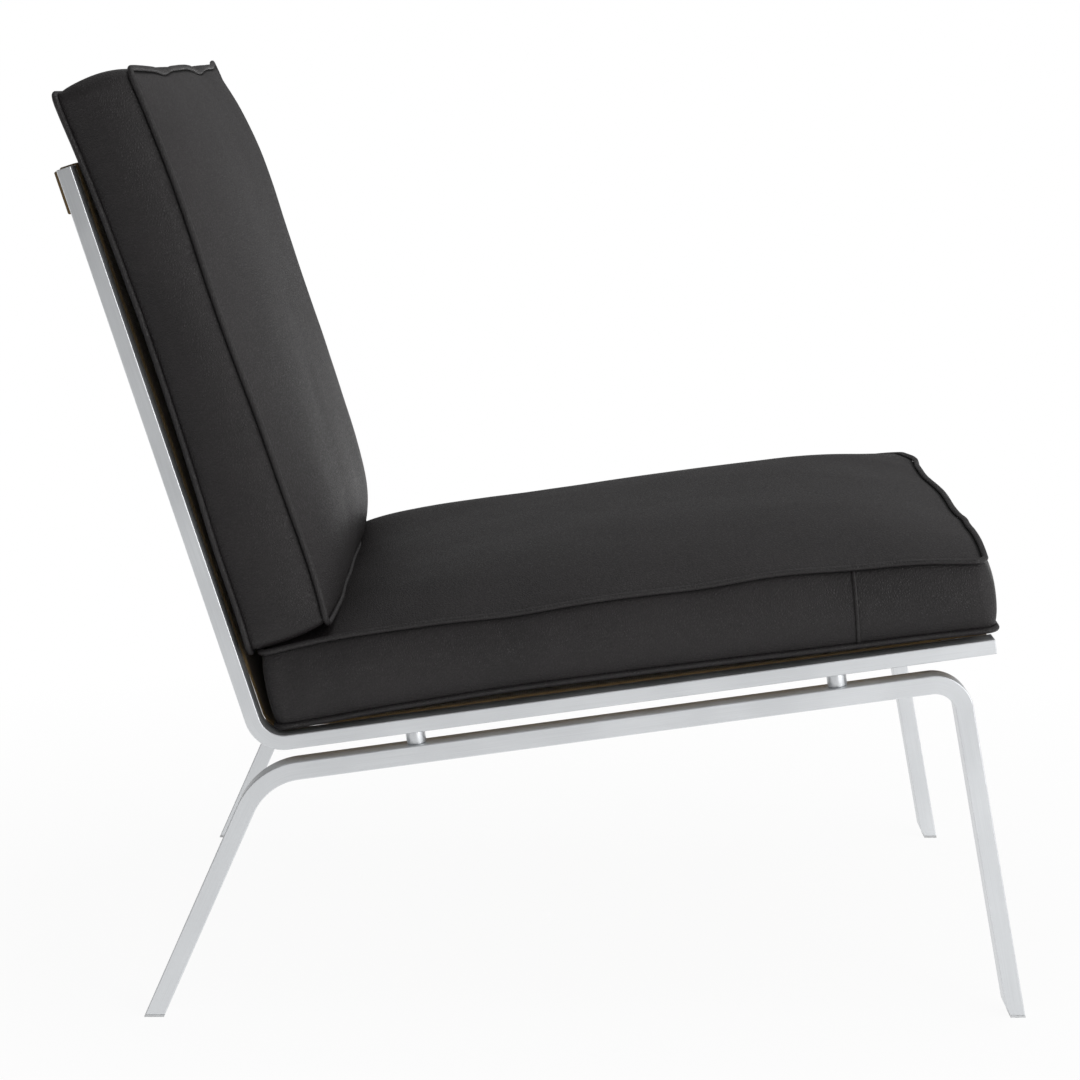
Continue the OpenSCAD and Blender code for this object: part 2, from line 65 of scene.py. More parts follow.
# %% Sizes, in metres and degrees
FRAME_W, RAIL_W, RAIL_T, RAIL_BEND = 0.600, 0.025, 0.012, 0.020
RAIL_FRONT_H, SEAT_RAIL_L, BACK_RAIL_L = 0.317, 0.6055, 0.494
SEAT_PITCH, BACK_RECLINE = 7.9, 17.7
CROSS_BAR_H, FRONT_BAR_INSET, BEND_BAR_R = 0.036, 0.005, 0.005
LEG_T, LEG_BAR_L, LEG_REAR_OFFSET = 0.015, 0.5865, 0.0033
REAR_SPLAY, FRONT_SPLAY, REAR_BEND, FRONT_BEND = 24, 10, 0.048, 0.017
FOOT_CHAMFER = (0.003, 0.008)
SPACER_R, SPACER_L, SPACER_INSET = 0.008, 0.011, 0.130
SCREW_R, SCREW_HEAD_R, SCREW_HEAD_H, SCREW_CLEARANCE = 0.003, 0.006, 0.0033, 0.0003
GLIDE_H = 0.002
CANVAS_T, HEM_T, CANVAS_SIDE_GAP, LOOP_T = 0.0015, 0.0045, 0.0005, 0.0012
CUSHION_REST = RAIL_T + CANVAS_T + 0.0003
BACK_ANGLE = 90 + BACK_RECLINE
RAIL_TURN = 180 - (BACK_ANGLE - SEAT_PITCH)
REAR_LEG_ANGLE, FRONT_LEG_ANGLE = 270 - REAR_SPLAY, 270 + FRONT_SPLAY
REAR_TURN = 180 - (360 + SEAT_PITCH - REAR_LEG_ANGLE)
FRONT_TURN = FRONT_LEG_ANGLE - 180 - SEAT_PITCH
print("turns of the rail, the rear leg and the front leg:", RAIL_TURN, REAR_TURN, FRONT_TURN)


def along(angle):
    """The way at an angle in the side view, as a unit vector."""
    return np.array([math.cos(math.radians(angle)), math.sin(math.radians(angle))])


def across(angle):
    """The way square to it, turned to the left."""
    return along(angle + 90)


def arc(centre, radius, start, end, steps=24):
    """Points on an arc between two angles."""
    return [centre + radius * along(start + (end - start) * k / steps) for k in range(steps + 1)]


# %% Corners and bends of the bars
def bend_run(outer_radius, turn):
    """How far a bend reaches along the bar from its sharp corner."""
    return outer_radius * math.tan(math.radians(turn / 2))


rail_corner = np.array([0, RAIL_FRONT_H - SEAT_RAIL_L * along(SEAT_PITCH)[1]
                        - RAIL_T * along(SEAT_PITCH)[0]])
rear_corner = rail_corner - SPACER_L * across(SEAT_PITCH) - LEG_REAR_OFFSET * along(SEAT_PITCH)
front_corner = rear_corner + LEG_BAR_L * along(SEAT_PITCH)
rail_bend_centre = (rail_corner + bend_run(RAIL_BEND + RAIL_T, RAIL_TURN) * along(SEAT_PITCH)
                    + (RAIL_BEND + RAIL_T) * across(SEAT_PITCH))
rear_bend_centre = (rear_corner + bend_run(REAR_BEND + LEG_T, REAR_TURN) * along(SEAT_PITCH)
                    - (REAR_BEND + LEG_T) * across(SEAT_PITCH))
front_bend_centre = (front_corner - bend_run(FRONT_BEND + LEG_T, FRONT_TURN) * along(SEAT_PITCH)
                     - (FRONT_BEND + LEG_T) * across(SEAT_PITCH))
CORNER_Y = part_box("left_rail")[1][1] - BACK_RAIL_L * along(BACK_RECLINE)[1]
print("rail corner: Y", round(CORNER_Y, 5), "Z", round(float(rail_corner[1]), 5))


def on_seat(s, h):
    """The side view point s along the seat rail and h above its lower face."""
    return rail_corner + s * along(SEAT_PITCH) + h * across(SEAT_PITCH)


def on_back(s, h):
    """The point s up the back rail and h in front of its rear face."""
    return rail_corner + s * along(BACK_ANGLE) - h * across(BACK_ANGLE)


def rail_curve(radius):
    """The bend between back and seat, at a distance from its own centre."""
    return arc(rail_bend_centre, radius, BACK_ANGLE + 90, BACK_ANGLE + 90 + RAIL_TURN)


def in_room(x, point):
    """The place in the room of a side view point at one x across the chair."""
    return (x, CORNER_Y - point[0], point[1])


# %% [markdown]
# ## Skins
# A bar, a tube, a piping or a strip of cloth is the same thing to a mesh: rings of points with
# quads between them. One helper makes that skin from any rings. It also writes a UV map in real
# metres, along the piece and round it, so a brushed finish or a weave runs the way the material was
# drawn or woven and has its true size.

# %% Make a mesh piece from rings of points
def make_piece(name, points, faces, uvs=None):
    """A smooth mesh object with its faces turned outwards."""
    mesh = bpy.data.meshes.new(name)
    mesh.from_pydata([tuple(float(c) for c in p) for p in points], [], faces)
    if uvs is not None:
        layer = mesh.uv_layers.new(name="metres")
        layer.data.foreach_set("uv", np.array([c for uv in uvs for c in uv], np.float32))
    work = bmesh.new()
    work.from_mesh(mesh)
    bmesh.ops.recalc_face_normals(work, faces=work.faces)
    work.to_mesh(mesh)
    work.free()
    mesh.shade_smooth()
    piece = bpy.data.objects.new(name, mesh)
    scene.collection.objects.link(piece)
    return piece


def lengths(points, closed=False):
    """Distance along a row of points, at each of them."""
    points = np.asarray(points, float)
    if closed:
        points = np.concatenate([points, points[:1]])
    return np.concatenate([[0], np.cumsum(np.linalg.norm(np.diff(points, axis=0), axis=1))])


def skin(rings, looped=False, tube=True, capped=True, first=0):
    """Faces and UV corners for rings of points. A looped skin joins its last ring to its first."""
    count, size = len(rings), len(rings[0])
    run = lengths([np.mean(r, axis=0) for r in rings], looped)
    girth = lengths(rings[count // 2], tube)
    faces, uvs = [], []
    for k in range(count if looped else count - 1):
        n = (k + 1) % count
        for i in range(size if tube else size - 1):
            j = (i + 1) % size
            faces.append([first + r * size + c for r, c in ((k, i), (k, j), (n, j), (n, i))])
            uvs += [(run[k], girth[i]), (run[k], girth[i + 1]),
                    (run[k + 1], girth[i + 1]), (run[k + 1], girth[i])]
    if tube and capped and not looped:
        for start in (0, (count - 1) * size):
            faces.append([first + start + i for i in range(size)])
            uvs += [(run[0], girth[i]) for i in range(size)]
    return faces, uvs


def skinned(name, rings, **how):
    """A piece made of one skin."""
    faces, uvs = skin(rings, **how)
    return make_piece(name, np.concatenate([np.asarray(r, float) for r in rings]), faces, uvs)


six_sided = [[(x, *along(60 * q)) for q in range(6)] for x in (0, 1)]
print("faces of a six-sided bar:", len(skin(six_sided)[0]))

# %% [markdown]
# ## Finishes
# A finish is a small tree of shader nodes. Writing them out link by link hides the idea, so a wire
# of the tree is wrapped in a class that takes part in ordinary sums: `1 - mask` adds the Math node
# that works it out. Every other node comes from one method. It takes the node's type, then its
# settings, then what goes into its sockets.

# %% Shader wires that can be added and multiplied
def plug(tree, socket, value):
    """Links a wire to a socket, or sets the socket to a plain value."""
    if isinstance(value, Wire):
        tree.links.new(value.socket, socket)
    else:
        socket.default_value = value


class Wire:
    """An output socket of a finish's node tree."""

    def __init__(self, finish, socket):
        self.finish, self.socket = finish, socket

    def math(self, operation, first, second):
        pair = (first, second)
        if not any(isinstance(v, Wire) and v.socket.type == "VECTOR" for v in pair):
            return self.finish.node("ShaderNodeMath", {"operation": operation},
                                    {0: first, 1: second})
        numbers = [v for v in pair if isinstance(v, (int, float))]
        if operation == "MULTIPLY" and numbers:
            wire = first if isinstance(first, Wire) else second
            return self.finish.node("ShaderNodeVectorMath", {"operation": "SCALE"},
                                    {0: wire, "Scale": numbers[0]})
        return self.finish.node("ShaderNodeVectorMath", {"operation": operation},
                                {0: first, 1: second})

    def __add__(self, other):
        return self.math("ADD", self, other)

    def __radd__(self, other):
        return self.math("ADD", other, self)

    def __sub__(self, other):
        return self.math("SUBTRACT", self, other)

    def __rsub__(self, other):
        return self.math("SUBTRACT", other, self)

    def __mul__(self, other):
        return self.math("MULTIPLY", self, other)

    def __rmul__(self, other):
        return self.math("MULTIPLY", other, self)

    def __pow__(self, other):
        return self.math("POWER", self, other)


# %% A finish: a material, and the one method that adds its nodes
class Finish:
    """A material, or the world, whose nodes are added one by one, each as a wire."""

    def __init__(self, name, world=None):
        self.material = world or bpy.data.materials.new(name)
        self.material.use_nodes = True
        self.tree = self.material.node_tree
        self.tree.nodes.clear()

    def node(self, kind, settings=None, inputs=None, out=0):
        """Adds any node, and gives one of its outputs as a wire."""
        made = self.tree.nodes.new(kind)
        for key, value in (settings or {}).items():
            setattr(made, key, value)
        for key, value in (inputs or {}).items():
            plug(self.tree, made.inputs[key], value)
        return Wire(self, made.outputs[out])

    def place(self):
        """Where on the object, in its own axes and metres."""
        return self.node("ShaderNodeTexCoord", out="Object")

    def metres(self):
        """Where on a skin, along it and round it."""
        return self.node("ShaderNodeUVMap", {"uv_map": "metres"})

    def noise(self, where, scale, detail=2.0, roughness=0.5, distortion=0.0):
        return self.node("ShaderNodeTexNoise", None, {
            "Vector": where, "Scale": scale, "Detail": detail, "Roughness": roughness,
            "Distortion": distortion})

    def stretched(self, where, scale):
        """Coordinates scaled by a different number on each axis."""
        return self.node("ShaderNodeMapping", {"vector_type": "POINT"},
                         {"Vector": where, "Scale": scale})

    def between(self, value, low, high, start=0.0, end=1.0):
        """The value's stretch from low to high, set out evenly from start to end."""
        return self.node("ShaderNodeMapRange", None, {
            "Value": value, "From Min": low, "From Max": high, "To Min": start, "To Max": end})

    def tint(self, share, first, second):
        """A colour or a wire, mixed with a second colour by the share."""
        start = first if isinstance(first, Wire) else (*first, 1)
        return self.node("ShaderNodeMix", {"data_type": "RGBA"},
                         {"Factor": share, "A": start, "B": (*second, 1)}, out=2)

    def bump(self, height, depth, strength=1.0):
        return self.node("ShaderNodeBump", None,
                         {"Height": height, "Distance": depth, "Strength": strength})

    def surface(self, **values):
        """The finish's Principled shader, its sockets named with _ for a space."""
        shader = self.node("ShaderNodeBsdfPrincipled", None,
                           {key.replace("_", " "): value for key, value in values.items()})
        self.node_out(shader)
        return self.material

    def node_out(self, shader, kind="ShaderNodeOutputMaterial"):
        self.tree.links.new(shader.socket, self.tree.nodes.new(kind).inputs[0])


def put(piece, finish, slot, body, *replaced):
    """Gives a piece its finish, and says which body it rides and what it replaces. The slot is not
    used.
    """
    piece.data.materials.clear()
    piece.data.materials.append(finish)
    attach(piece, body)
    if replaced:
        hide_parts(*replaced)
    return piece


def dress(finish, *names):
    """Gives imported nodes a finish. Their shape and place stay as they are."""
    for name in names:
        for holder in nodes[name].material_slots:
            holder.material = finish
    print(finish.name, "on", ", ".join(names))


# %% [markdown]
# ## Steel
# The bars are satin stainless steel. Flat bar is drawn through rolls and then polished along its
# length, so its finest marks run lengthways. On the pieces made here the UV map knows which way
# that is, and a noise stretched a hundredfold along the bar gives the marks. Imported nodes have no
# such map, so their marks follow one axis of the room instead.

# %% Steel finishes
STEEL_DARK, STEEL_PALE = (0.590, 0.605, 0.621), (0.710, 0.726, 0.742)


def steel_finish(name, where_scale, from_uv):
    """Brushed steel, its marks drawn out by a scale for each axis of the UV map or the room."""
    steel = Finish(name)
    where = steel.metres() if from_uv else steel.place()
    fine = steel.noise(steel.stretched(where, where_scale), 1.0, 3.0, 0.6)
    broad = steel.noise(steel.place(), 14.0, 2.0, 0.5)
    streak = steel.between(fine, 0.3, 0.7)
    cloud = steel.between(broad, 0.35, 0.65)
    return steel.surface(
        Base_Color=steel.tint(cloud * 0.35 + streak * 0.65, STEEL_DARK, STEEL_PALE),
        Metallic=1.0,
        Roughness=0.37 + streak * 0.10 + cloud * 0.05,
        Normal=steel.bump(fine, 0.00004, 0.45))


bar_steel = steel_finish("bar_steel", (14.0, 2600.0, 1.0), True)
cross_steel = steel_finish("cross_steel", (14.0, 1400.0, 1400.0), False)
turned_steel = steel_finish("turned_steel", (500.0, 500.0, 2600.0), False)
dress(cross_steel, "top_cross_bar", "front_cross_bar", "bend_cross_bar")
dress(turned_steel, "frame_screws")

# %% [markdown]
# ## The flat bars
# A flat bar is a small rectangle pushed along a path. Bent bar keeps its thickness, so in the bends
# its inner and outer faces lie on arcs with one centre. Each station of the path holds a point on
# the outer face and one on the inner face, and that also allows the slanted cut of a foot. Real
# bar is never sharp: its edges are rounded by about a millimetre, which is what catches the light
# in a thin bright line.

# %% Sweep a flat bar through its stations
EDGE_R, LEAST_EDGE_R, EDGE_STEPS = 0.0009, 0.0002, 5


def bar_section(thick, wide, inset=0.0):
    """Rounded rectangle as pairs of distance through the bar and distance across the chair."""
    r = max(EDGE_R - inset, LEAST_EDGE_R)
    low, high_t, high_w = inset + r, thick - inset - r, wide - inset - r
    corners = ((high_t, high_w), (low, high_w), (low, low), (high_t, low))
    return np.array([np.array(c) + r * along(q * 90 + 90 * k / (EDGE_STEPS - 1))
                     for q, c in enumerate(corners) for k in range(EDGE_STEPS)])


def rounded_end(stations, radius):
    """Stations that round off the first end of a bar, each with its inset."""
    (o1, i1), (o2, i2) = stations[0], stations[1]
    run_o, run_i = (o2 - o1) / np.linalg.norm(o2 - o1), (i2 - i1) / np.linalg.norm(i2 - i1)
    steps = [math.radians(90 * k / 3) for k in range(4)]
    return [(o1 + radius * (1 - math.cos(a)) * run_o, i1 + radius * (1 - math.cos(a)) * run_i,
             radius * (1 - math.sin(a))) for a in steps]


def keep_flats(piece):
    """Shades the flat faces flat, and only the round edges between them smooth."""
    piece.modifiers.new("flat faces stay flat", "WEIGHTED_NORMAL").keep_sharp = True


def flat_bar(name, stations, thick, x_low, end_r):
    """A bar as wide as a rail, with rounded edges and ends, along its stations."""
    first = rounded_end(stations, end_r)
    last = rounded_end(stations[::-1], end_r)[::-1]
    rings = []
    for outer, inner, inset in first + [(o, i, 0) for o, i in stations[1:-1]] + last:
        section = bar_section(thick, RAIL_W, inset)
        rings.append([in_room(x_low + w, outer + (inner - outer) * t / thick) for t, w in section])
    return skinned(name, rings)


print("points round a rail's section:", len(bar_section(RAIL_T, RAIL_W)))

# %% The two rails
def straight(start, end, step=0.03):
    """Stations of a straight stretch, without its last one."""
    count = max(1, int(np.linalg.norm(end[0] - start[0]) / step))
    return [tuple(a + (b - a) * k / count for a, b in zip(start, end)) for k in range(count)]


bend = list(zip(rail_curve(RAIL_BEND + RAIL_T), rail_curve(RAIL_BEND)))
rail_top = (on_back(BACK_RAIL_L, 0), on_back(BACK_RAIL_L, RAIL_T))
rail_front = (on_seat(SEAT_RAIL_L, 0), on_seat(SEAT_RAIL_L, RAIL_T))
rail_stations = (straight(rail_top, bend[0]) + bend[:-1]
                 + straight(bend[-1], rail_front) + [rail_front])
SIDES = {"left": FRAME_W / 2 - RAIL_W, "right": -FRAME_W / 2}
RAIL_END_R, FOOT_END_R = 0.0007, 0.0005
for side, x_low in SIDES.items():
    rail = flat_bar(side + "_rail_bar", rail_stations, RAIL_T, x_low, RAIL_END_R)
    keep_flats(rail)
    put(rail, bar_steel, "steel", "frame", side + "_rail")
print("rails:", len(rail_stations), "stations each")

# %% [markdown]
# ## The leg frames
# Each leg frame is one thicker bar with two bends. Its feet are cut level with the floor, and the
# heel of the front foot is taken off at a slant. Two screws go up through it, so it has two
# countersunk holes. A hole is cut with an exact Boolean from a turned form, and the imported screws
# fill it.

# %% The path of a leg frame
def on_leg(corner, splay, angle, h):
    """The point of a leg's outer face at a height, counted from its sharp upper corner."""
    return corner + (corner[1] - h) / math.cos(math.radians(splay)) * along(angle)


def rear_foot(h):
    """Outer and inner point of the rear leg at a height."""
    outer = on_leg(rear_corner, REAR_SPLAY, REAR_LEG_ANGLE, h)
    return outer, outer + (LEG_T / math.cos(math.radians(REAR_SPLAY)), 0)


def front_foot(h, heel=0.0):
    """The same for the front leg, with some of the heel taken off."""
    outer = on_leg(front_corner, FRONT_SPLAY, FRONT_LEG_ANGLE, h)
    return outer, outer - (LEG_T / math.cos(math.radians(FRONT_SPLAY)) - heel, 0)


rear_arcs = [arc(rear_bend_centre, r, 90 + SEAT_PITCH + REAR_TURN, 90 + SEAT_PITCH)
             for r in (REAR_BEND + LEG_T, REAR_BEND)]
front_arcs = [arc(front_bend_centre, r, 90 + SEAT_PITCH, 90 + SEAT_PITCH - FRONT_TURN)
              for r in (FRONT_BEND + LEG_T, FRONT_BEND)]
rear_bend, front_bend = list(zip(*rear_arcs)), list(zip(*front_arcs))
above_heel = front_foot(GLIDE_H + FOOT_CHAMFER[1])
leg_stations = (straight(rear_foot(GLIDE_H), rear_bend[0]) + rear_bend[:-1]
                + straight(rear_bend[-1], front_bend[0]) + front_bend[:-1]
                + straight(front_bend[-1], above_heel)
                + [above_heel, front_foot(GLIDE_H, FOOT_CHAMFER[0])])
print("leg frame:", len(leg_stations), "stations")

# %% Countersunk holes, and the two bars they are drilled in
spacer_distances = (SPACER_INSET, SEAT_RAIL_L - SPACER_INSET)
up_the_spacer = (0, -across(SEAT_PITCH)[0], across(SEAT_PITCH)[1])
hole_profile = [(SCREW_HEAD_R + 0.0003, -0.0005), (SCREW_HEAD_R + 0.0001, 0),
                (SCREW_R + 0.0001, SCREW_HEAD_H), (SCREW_R + SCREW_CLEARANCE, SCREW_HEAD_H),
                (SCREW_R + SCREW_CLEARANCE, LEG_T + 0.002)]


ACROSS_CHAIR = np.array((1, 0, 0))


def turned_rings(profile, base, axis, steps=40):
    """Rings of a turned form, from (radius, height) pairs up its axis."""
    base, axis = np.array(base), np.array(axis, float)
    side = np.cross(axis, ACROSS_CHAIR)
    turns = [2 * math.pi * k / steps for k in range(steps)]
    return [[base + h * axis + r * (math.cos(a) * ACROSS_CHAIR + math.sin(a) * side)
             for a in turns] for r, h in profile]


def applied(piece):
    """A new mesh of the piece as its modifiers leave it."""
    return bpy.data.meshes.new_from_object(
        piece.evaluated_get(bpy.context.evaluated_depsgraph_get()))


def drill(bar, holes):
    """Cuts turned forms out of a bar and leaves one plain mesh."""
    for hole in holes:
        cut = bar.modifiers.new("hole", "BOOLEAN")
        cut.operation, cut.solver, cut.object = "DIFFERENCE", "EXACT", hole
    with_holes = applied(bar)
    bar.modifiers.clear()
    bar.data = with_holes
    for hole in holes:
        bpy.data.objects.remove(hole)


for side, x_low in SIDES.items():
    leg = flat_bar(side + "_leg_bar", leg_stations, LEG_T, x_low, FOOT_END_R)
    bases = [in_room(x_low + RAIL_W / 2, on_seat(d, -SPACER_L - LEG_T)) for d in spacer_distances]
    drill(leg, [skinned("drill", turned_rings(hole_profile, b, up_the_spacer)) for b in bases])
    keep_flats(leg)
    put(leg, bar_steel, "steel", "frame", side + "_leg_frame")
    print(leg.name, "faces:", len(leg.data.polygons))

# %% [markdown]
# ## Spacers and glides
# Four turned spacers lift the rails off the leg frames, so the seat seems to float. A turned
# spacer has a small chamfer at each end, and the shadow in the two chamfers draws the dark lines
# where it meets the bars. The glides under the feet are moulded nylon, as pale as the steel, so
# that they don't show from a step away.

# %% Turned spacers
CHAMFER, BORE, SPACER_STEPS = 0.0006, SCREW_R + SCREW_CLEARANCE, 48
spacer_profile = [(BORE, 0), (SPACER_R - CHAMFER, 0), (SPACER_R, CHAMFER),
                  (SPACER_R, SPACER_L - CHAMFER), (SPACER_R - CHAMFER, SPACER_L), (BORE, SPACER_L)]
for side, x_low in SIDES.items():
    for end, d in zip(("rear", "front"), spacer_distances):
        base = in_room(x_low + RAIL_W / 2, on_seat(d, -SPACER_L))
        rings = turned_rings(spacer_profile, base, up_the_spacer, SPACER_STEPS)
        spacer = skinned(f"{side}_{end}_turned_spacer", rings, looped=True)
        keep_flats(spacer)
        put(spacer, turned_steel, "spacer_steel", "frame", f"{side}_{end}_spacer")
print("spacers: 4, profile points:", len(spacer_profile))

# %% Nylon of the glides
def plain_finish(name, dark, pale, roughness, spread, bump_depth, pattern):
    """A finish whose colour, roughness and bump all follow one pattern, which a function makes."""
    made = Finish(name)
    grain = pattern(made)
    return made.surface(Base_Color=made.tint(grain, dark, pale),
                        Roughness=roughness + grain * spread, Normal=made.bump(grain, bump_depth))


nylon = plain_finish("glide_nylon", (0.62, 0.63, 0.64), (0.74, 0.75, 0.76), 0.45, 0.2, 0.00008,
                     lambda f: f.noise(f.place(), 900.0, 2.0))
dress(nylon, *[f"{side}_{end}_glide" for side in SIDES for end in ("rear", "front")])

# %% [markdown]
# ## Canvas
# The cushions lie on one panel of heavy canvas. Its front and top edges are sewn into sleeves round
# the cross bars, and a loop on its underside holds it down in the bend. The panel is a sheet that
# follows the side view: a path of points with rounded corners, each repeated across the chair.
# Under load a sling settles a little between its bars, so the free stretches sink by a millimetre
# or so with soft waves in them.

# %% Canvas finish
CANVAS_DARK, CANVAS_PALE, CANVAS_DUST = ((0.115, 0.072, 0.028), (0.390, 0.260, 0.115),
                                         (0.150, 0.110, 0.062))
canvas = Finish("canvas_weave")
weave_place = canvas.metres()


def ribs(direction, scale, distortion):
    """The ridges of one set of threads, along the cloth or across it."""
    return canvas.node("ShaderNodeTexWave", {"wave_type": "BANDS", "bands_direction": direction,
                                             "wave_profile": "SIN"},
                       {"Vector": weave_place, "Scale": scale, "Distortion": distortion,
                        "Detail": 1.0, "Detail Scale": 60.0})


warp, weft = ribs("X", 220.0, 0.35), ribs("Y", 140.0, 0.5)
slub = canvas.noise(canvas.stretched(weave_place, (40.0, 900.0, 1.0)), 1.0, 3.0)
dust = canvas.noise(canvas.place(), 22.0, 4.0, 0.6)
threads = warp * weft * 0.6 + slub * 0.4
clean = canvas.tint(threads, CANVAS_DARK, CANVAS_PALE)
canvas_finish = canvas.surface(
    Base_Color=canvas.tint(canvas.between(dust, 0.3, 0.7) * 0.35, clean, CANVAS_DUST),
    Roughness=0.82 + slub * 0.12, Normal=canvas.bump(threads, 0.0004, 0.8),
    Specular_IOR_Level=0.25, Sheen_Weight=0.15, Sheen_Roughness=0.5)
thread_finish = plain_finish("waxed_thread", (0.090, 0.062, 0.032), (0.230, 0.165, 0.090),
                             0.6, 0.2, 0.0001, lambda f: f.noise(f.place(), 1800.0, 1.0))
print("finishes of the sling:", canvas_finish.name, "and", thread_finish.name)


# %% Paths with rounded corners
def rounded_path(corners, steps=6):
    """A side view path from (point, corner radius) pairs."""
    path = []
    for k, (p, r) in enumerate(corners):
        if not r or k in (0, len(corners) - 1):
            path.append(p)
            continue
        u, v = corners[k - 1][0] - p, corners[k + 1][0] - p
        u, v = u / np.linalg.norm(u), v / np.linalg.norm(v)
        half = math.acos(float(np.clip(u @ v, -1, 1))) / 2
        centre = p + (u + v) / np.linalg.norm(u + v) * r / math.sin(half)
        a, b = p + u * r / math.tan(half) - centre, p + v * r / math.tan(half) - centre
        turn = math.pi - 2 * half
        path += [centre + (math.sin(turn * (1 - t)) * a + math.sin(turn * t) * b) / math.sin(turn)
                 for t in np.linspace(0, 1, steps)]
    return path


def finer(path, step):
    """The same path with more points on its long stretches."""
    out = [path[0]]
    for a, b in zip(path, path[1:]):
        count = max(1, math.ceil(np.linalg.norm(b - a) / step))
        out += [a + (b - a) * k / count for k in range(1, count + 1)]
    return out


# %% The path of the canvas panel
canvas_half_w = FRAME_W / 2 - RAIL_W - CANVAS_SIDE_GAP
front_bar_end = SEAT_RAIL_L - FRONT_BAR_INSET
HALF_T, FOLD_R, TUCK_R, TUCK_GAP = CANVAS_T / 2, 0.0016, 0.0012, 0.0004
top_hem, front_hem = BACK_RAIL_L - CROSS_BAR_H - HALF_T, front_bar_end - CROSS_BAR_H - HALF_T


def sleeve(spot, bar_end, hem):
    """Corners of the sleeve round a cross bar, from its sewn edge to the panel."""
    return [(spot(hem, RAIL_T - TUCK_GAP), 0), (spot(hem, -HALF_T), TUCK_R),
            (spot(bar_end + HALF_T, -HALF_T), FOLD_R),
            (spot(bar_end + HALF_T, RAIL_T + HALF_T), FOLD_R)]


canvas_corners = (sleeve(on_back, BACK_RAIL_L, top_hem)
                  + [(p, 0) for p in rail_curve(RAIL_BEND - HALF_T)]
                  + sleeve(on_seat, front_bar_end, front_hem)[::-1])
canvas_path = finer(rounded_path(canvas_corners), 0.009)
canvas_xs = np.linspace(-canvas_half_w, canvas_half_w, 61)

# %% The canvas panel
SINK_START, SINK_EASE, SINK_MIDDLE, SINK_WAVE = 0.045, 0.05, 0.0011, 0.0007


def sink(point, x):
    """How far the canvas sinks below its plane between the bars."""
    from_corner = point - rail_corner
    sunk = 0.0
    for angle, sign, end in ((SEAT_PITCH, 1, front_hem), (BACK_ANGLE, -1, top_hem)):
        s, h = from_corner @ along(angle), sign * (from_corner @ across(angle))
        if SINK_START < s < end and h > RAIL_T:
            ease = min(1, (s - SINK_START) / SINK_EASE) * min(1, (end - s) / SINK_EASE)
            wave = noise.noise(Vector((x * 9, s * 3.5, sign * 4.0)))
            sunk = ease * (SINK_MIDDLE * (1 - (x / canvas_half_w) ** 2) + SINK_WAVE * (1 + wave))
    return sunk


def thicken(cloth_piece, thick):
    """Gives a sheet its thickness, half of it on either side."""
    layer = cloth_piece.modifiers.new("cloth thickness", "SOLIDIFY")
    layer.thickness, layer.offset = thick, 0.0


def canvas_normal(k):
    """The way out of the canvas towards the sitter, at a point of its path."""
    a, b = canvas_path[max(k - 1, 0)], canvas_path[min(k + 1, len(canvas_path) - 1)]
    d = (b - a) / np.linalg.norm(b - a)
    return np.array([-d[1], d[0]])


canvas_rows = [[in_room(x, p - sink(p, x) * canvas_normal(k)) for x in canvas_xs]
               for k, p in enumerate(canvas_path)]
canvas_panel = skinned("canvas_panel", canvas_rows, tube=False)
thicken(canvas_panel, CANVAS_T)
put(canvas_panel, canvas_finish, "canvas", "frame", "canvas_sling")

# %% [markdown]
# ### Hems, loop and stitching
# Where the sleeves close, the canvas is folded over twice more and sewn. These folds are thick
# strips with soft edges that the stitches pull in. A stitch is a short capsule, half sunk in the
# cloth. They are real geometry, because a stitch stands up and casts a shadow.

# %% Strips of folded canvas across the chair
HEM_SLACK, TOP_HEM_T, HEM_UNEVEN, END_SOFT = 0.0009, 0.0067, 0.00025, 0.0004


def strip_across(name, start, end, thick, lift):
    """A folded strip between two side view points, lying on the lift side of them."""
    wide = np.linalg.norm(end - start)
    d = (end - start) / wide
    up = np.array([-d[1], d[0]]) * lift
    rings = []
    for x in np.linspace(-canvas_half_w, canvas_half_w, 92):
        loose = HEM_UNEVEN * noise.noise(Vector((x * 60, wide * 50, 2.0)))
        end_soft = END_SOFT if abs(x) > canvas_half_w - 0.0001 else 0.0
        section = bar_section(thick + loose - end_soft, wide - 2 * end_soft)
        rings.append([in_room(x, start + d * (w + end_soft) + up * t) for t, w in section])
    return skinned(name, rings)


for name, spot, hem, bar_end, thick, lift in (
        ("canvas_top_hem", on_back, top_hem, BACK_RAIL_L, TOP_HEM_T, 1),
        ("canvas_front_hem", on_seat, front_hem, front_bar_end, HEM_T, -1)):
    strip = strip_across(name, spot(hem + HEM_SLACK, -CANVAS_T),
                         spot(bar_end + HALF_T - HEM_SLACK, -CANVAS_T), thick - CANVAS_T, lift)
    put(strip, canvas_finish, "canvas", "frame")

# %% Turned-in side edges of the panel
SIDE_HEM_W, SIDE_HEM_T, SIDE_HEM_START = 0.014, 0.0013, 0.060
SIDE_HEM_INSET, SIDE_HEM_BITE = 0.0004, 0.0001


def side_hem(name, x_outer, sign, spot, ends):
    """A narrow strip under one side edge, along the back or the seat."""
    rings = []
    for s in np.linspace(*ends, 70):
        base = sink(spot(s, RAIL_T + HALF_T), x_outer)
        rings.append([in_room(x_outer - sign * (SIDE_HEM_INSET + w),
                              spot(s, RAIL_T - base - t + SIDE_HEM_BITE))
                      for t, w in bar_section(SIDE_HEM_T, SIDE_HEM_W)])
    return skinned(name, rings)


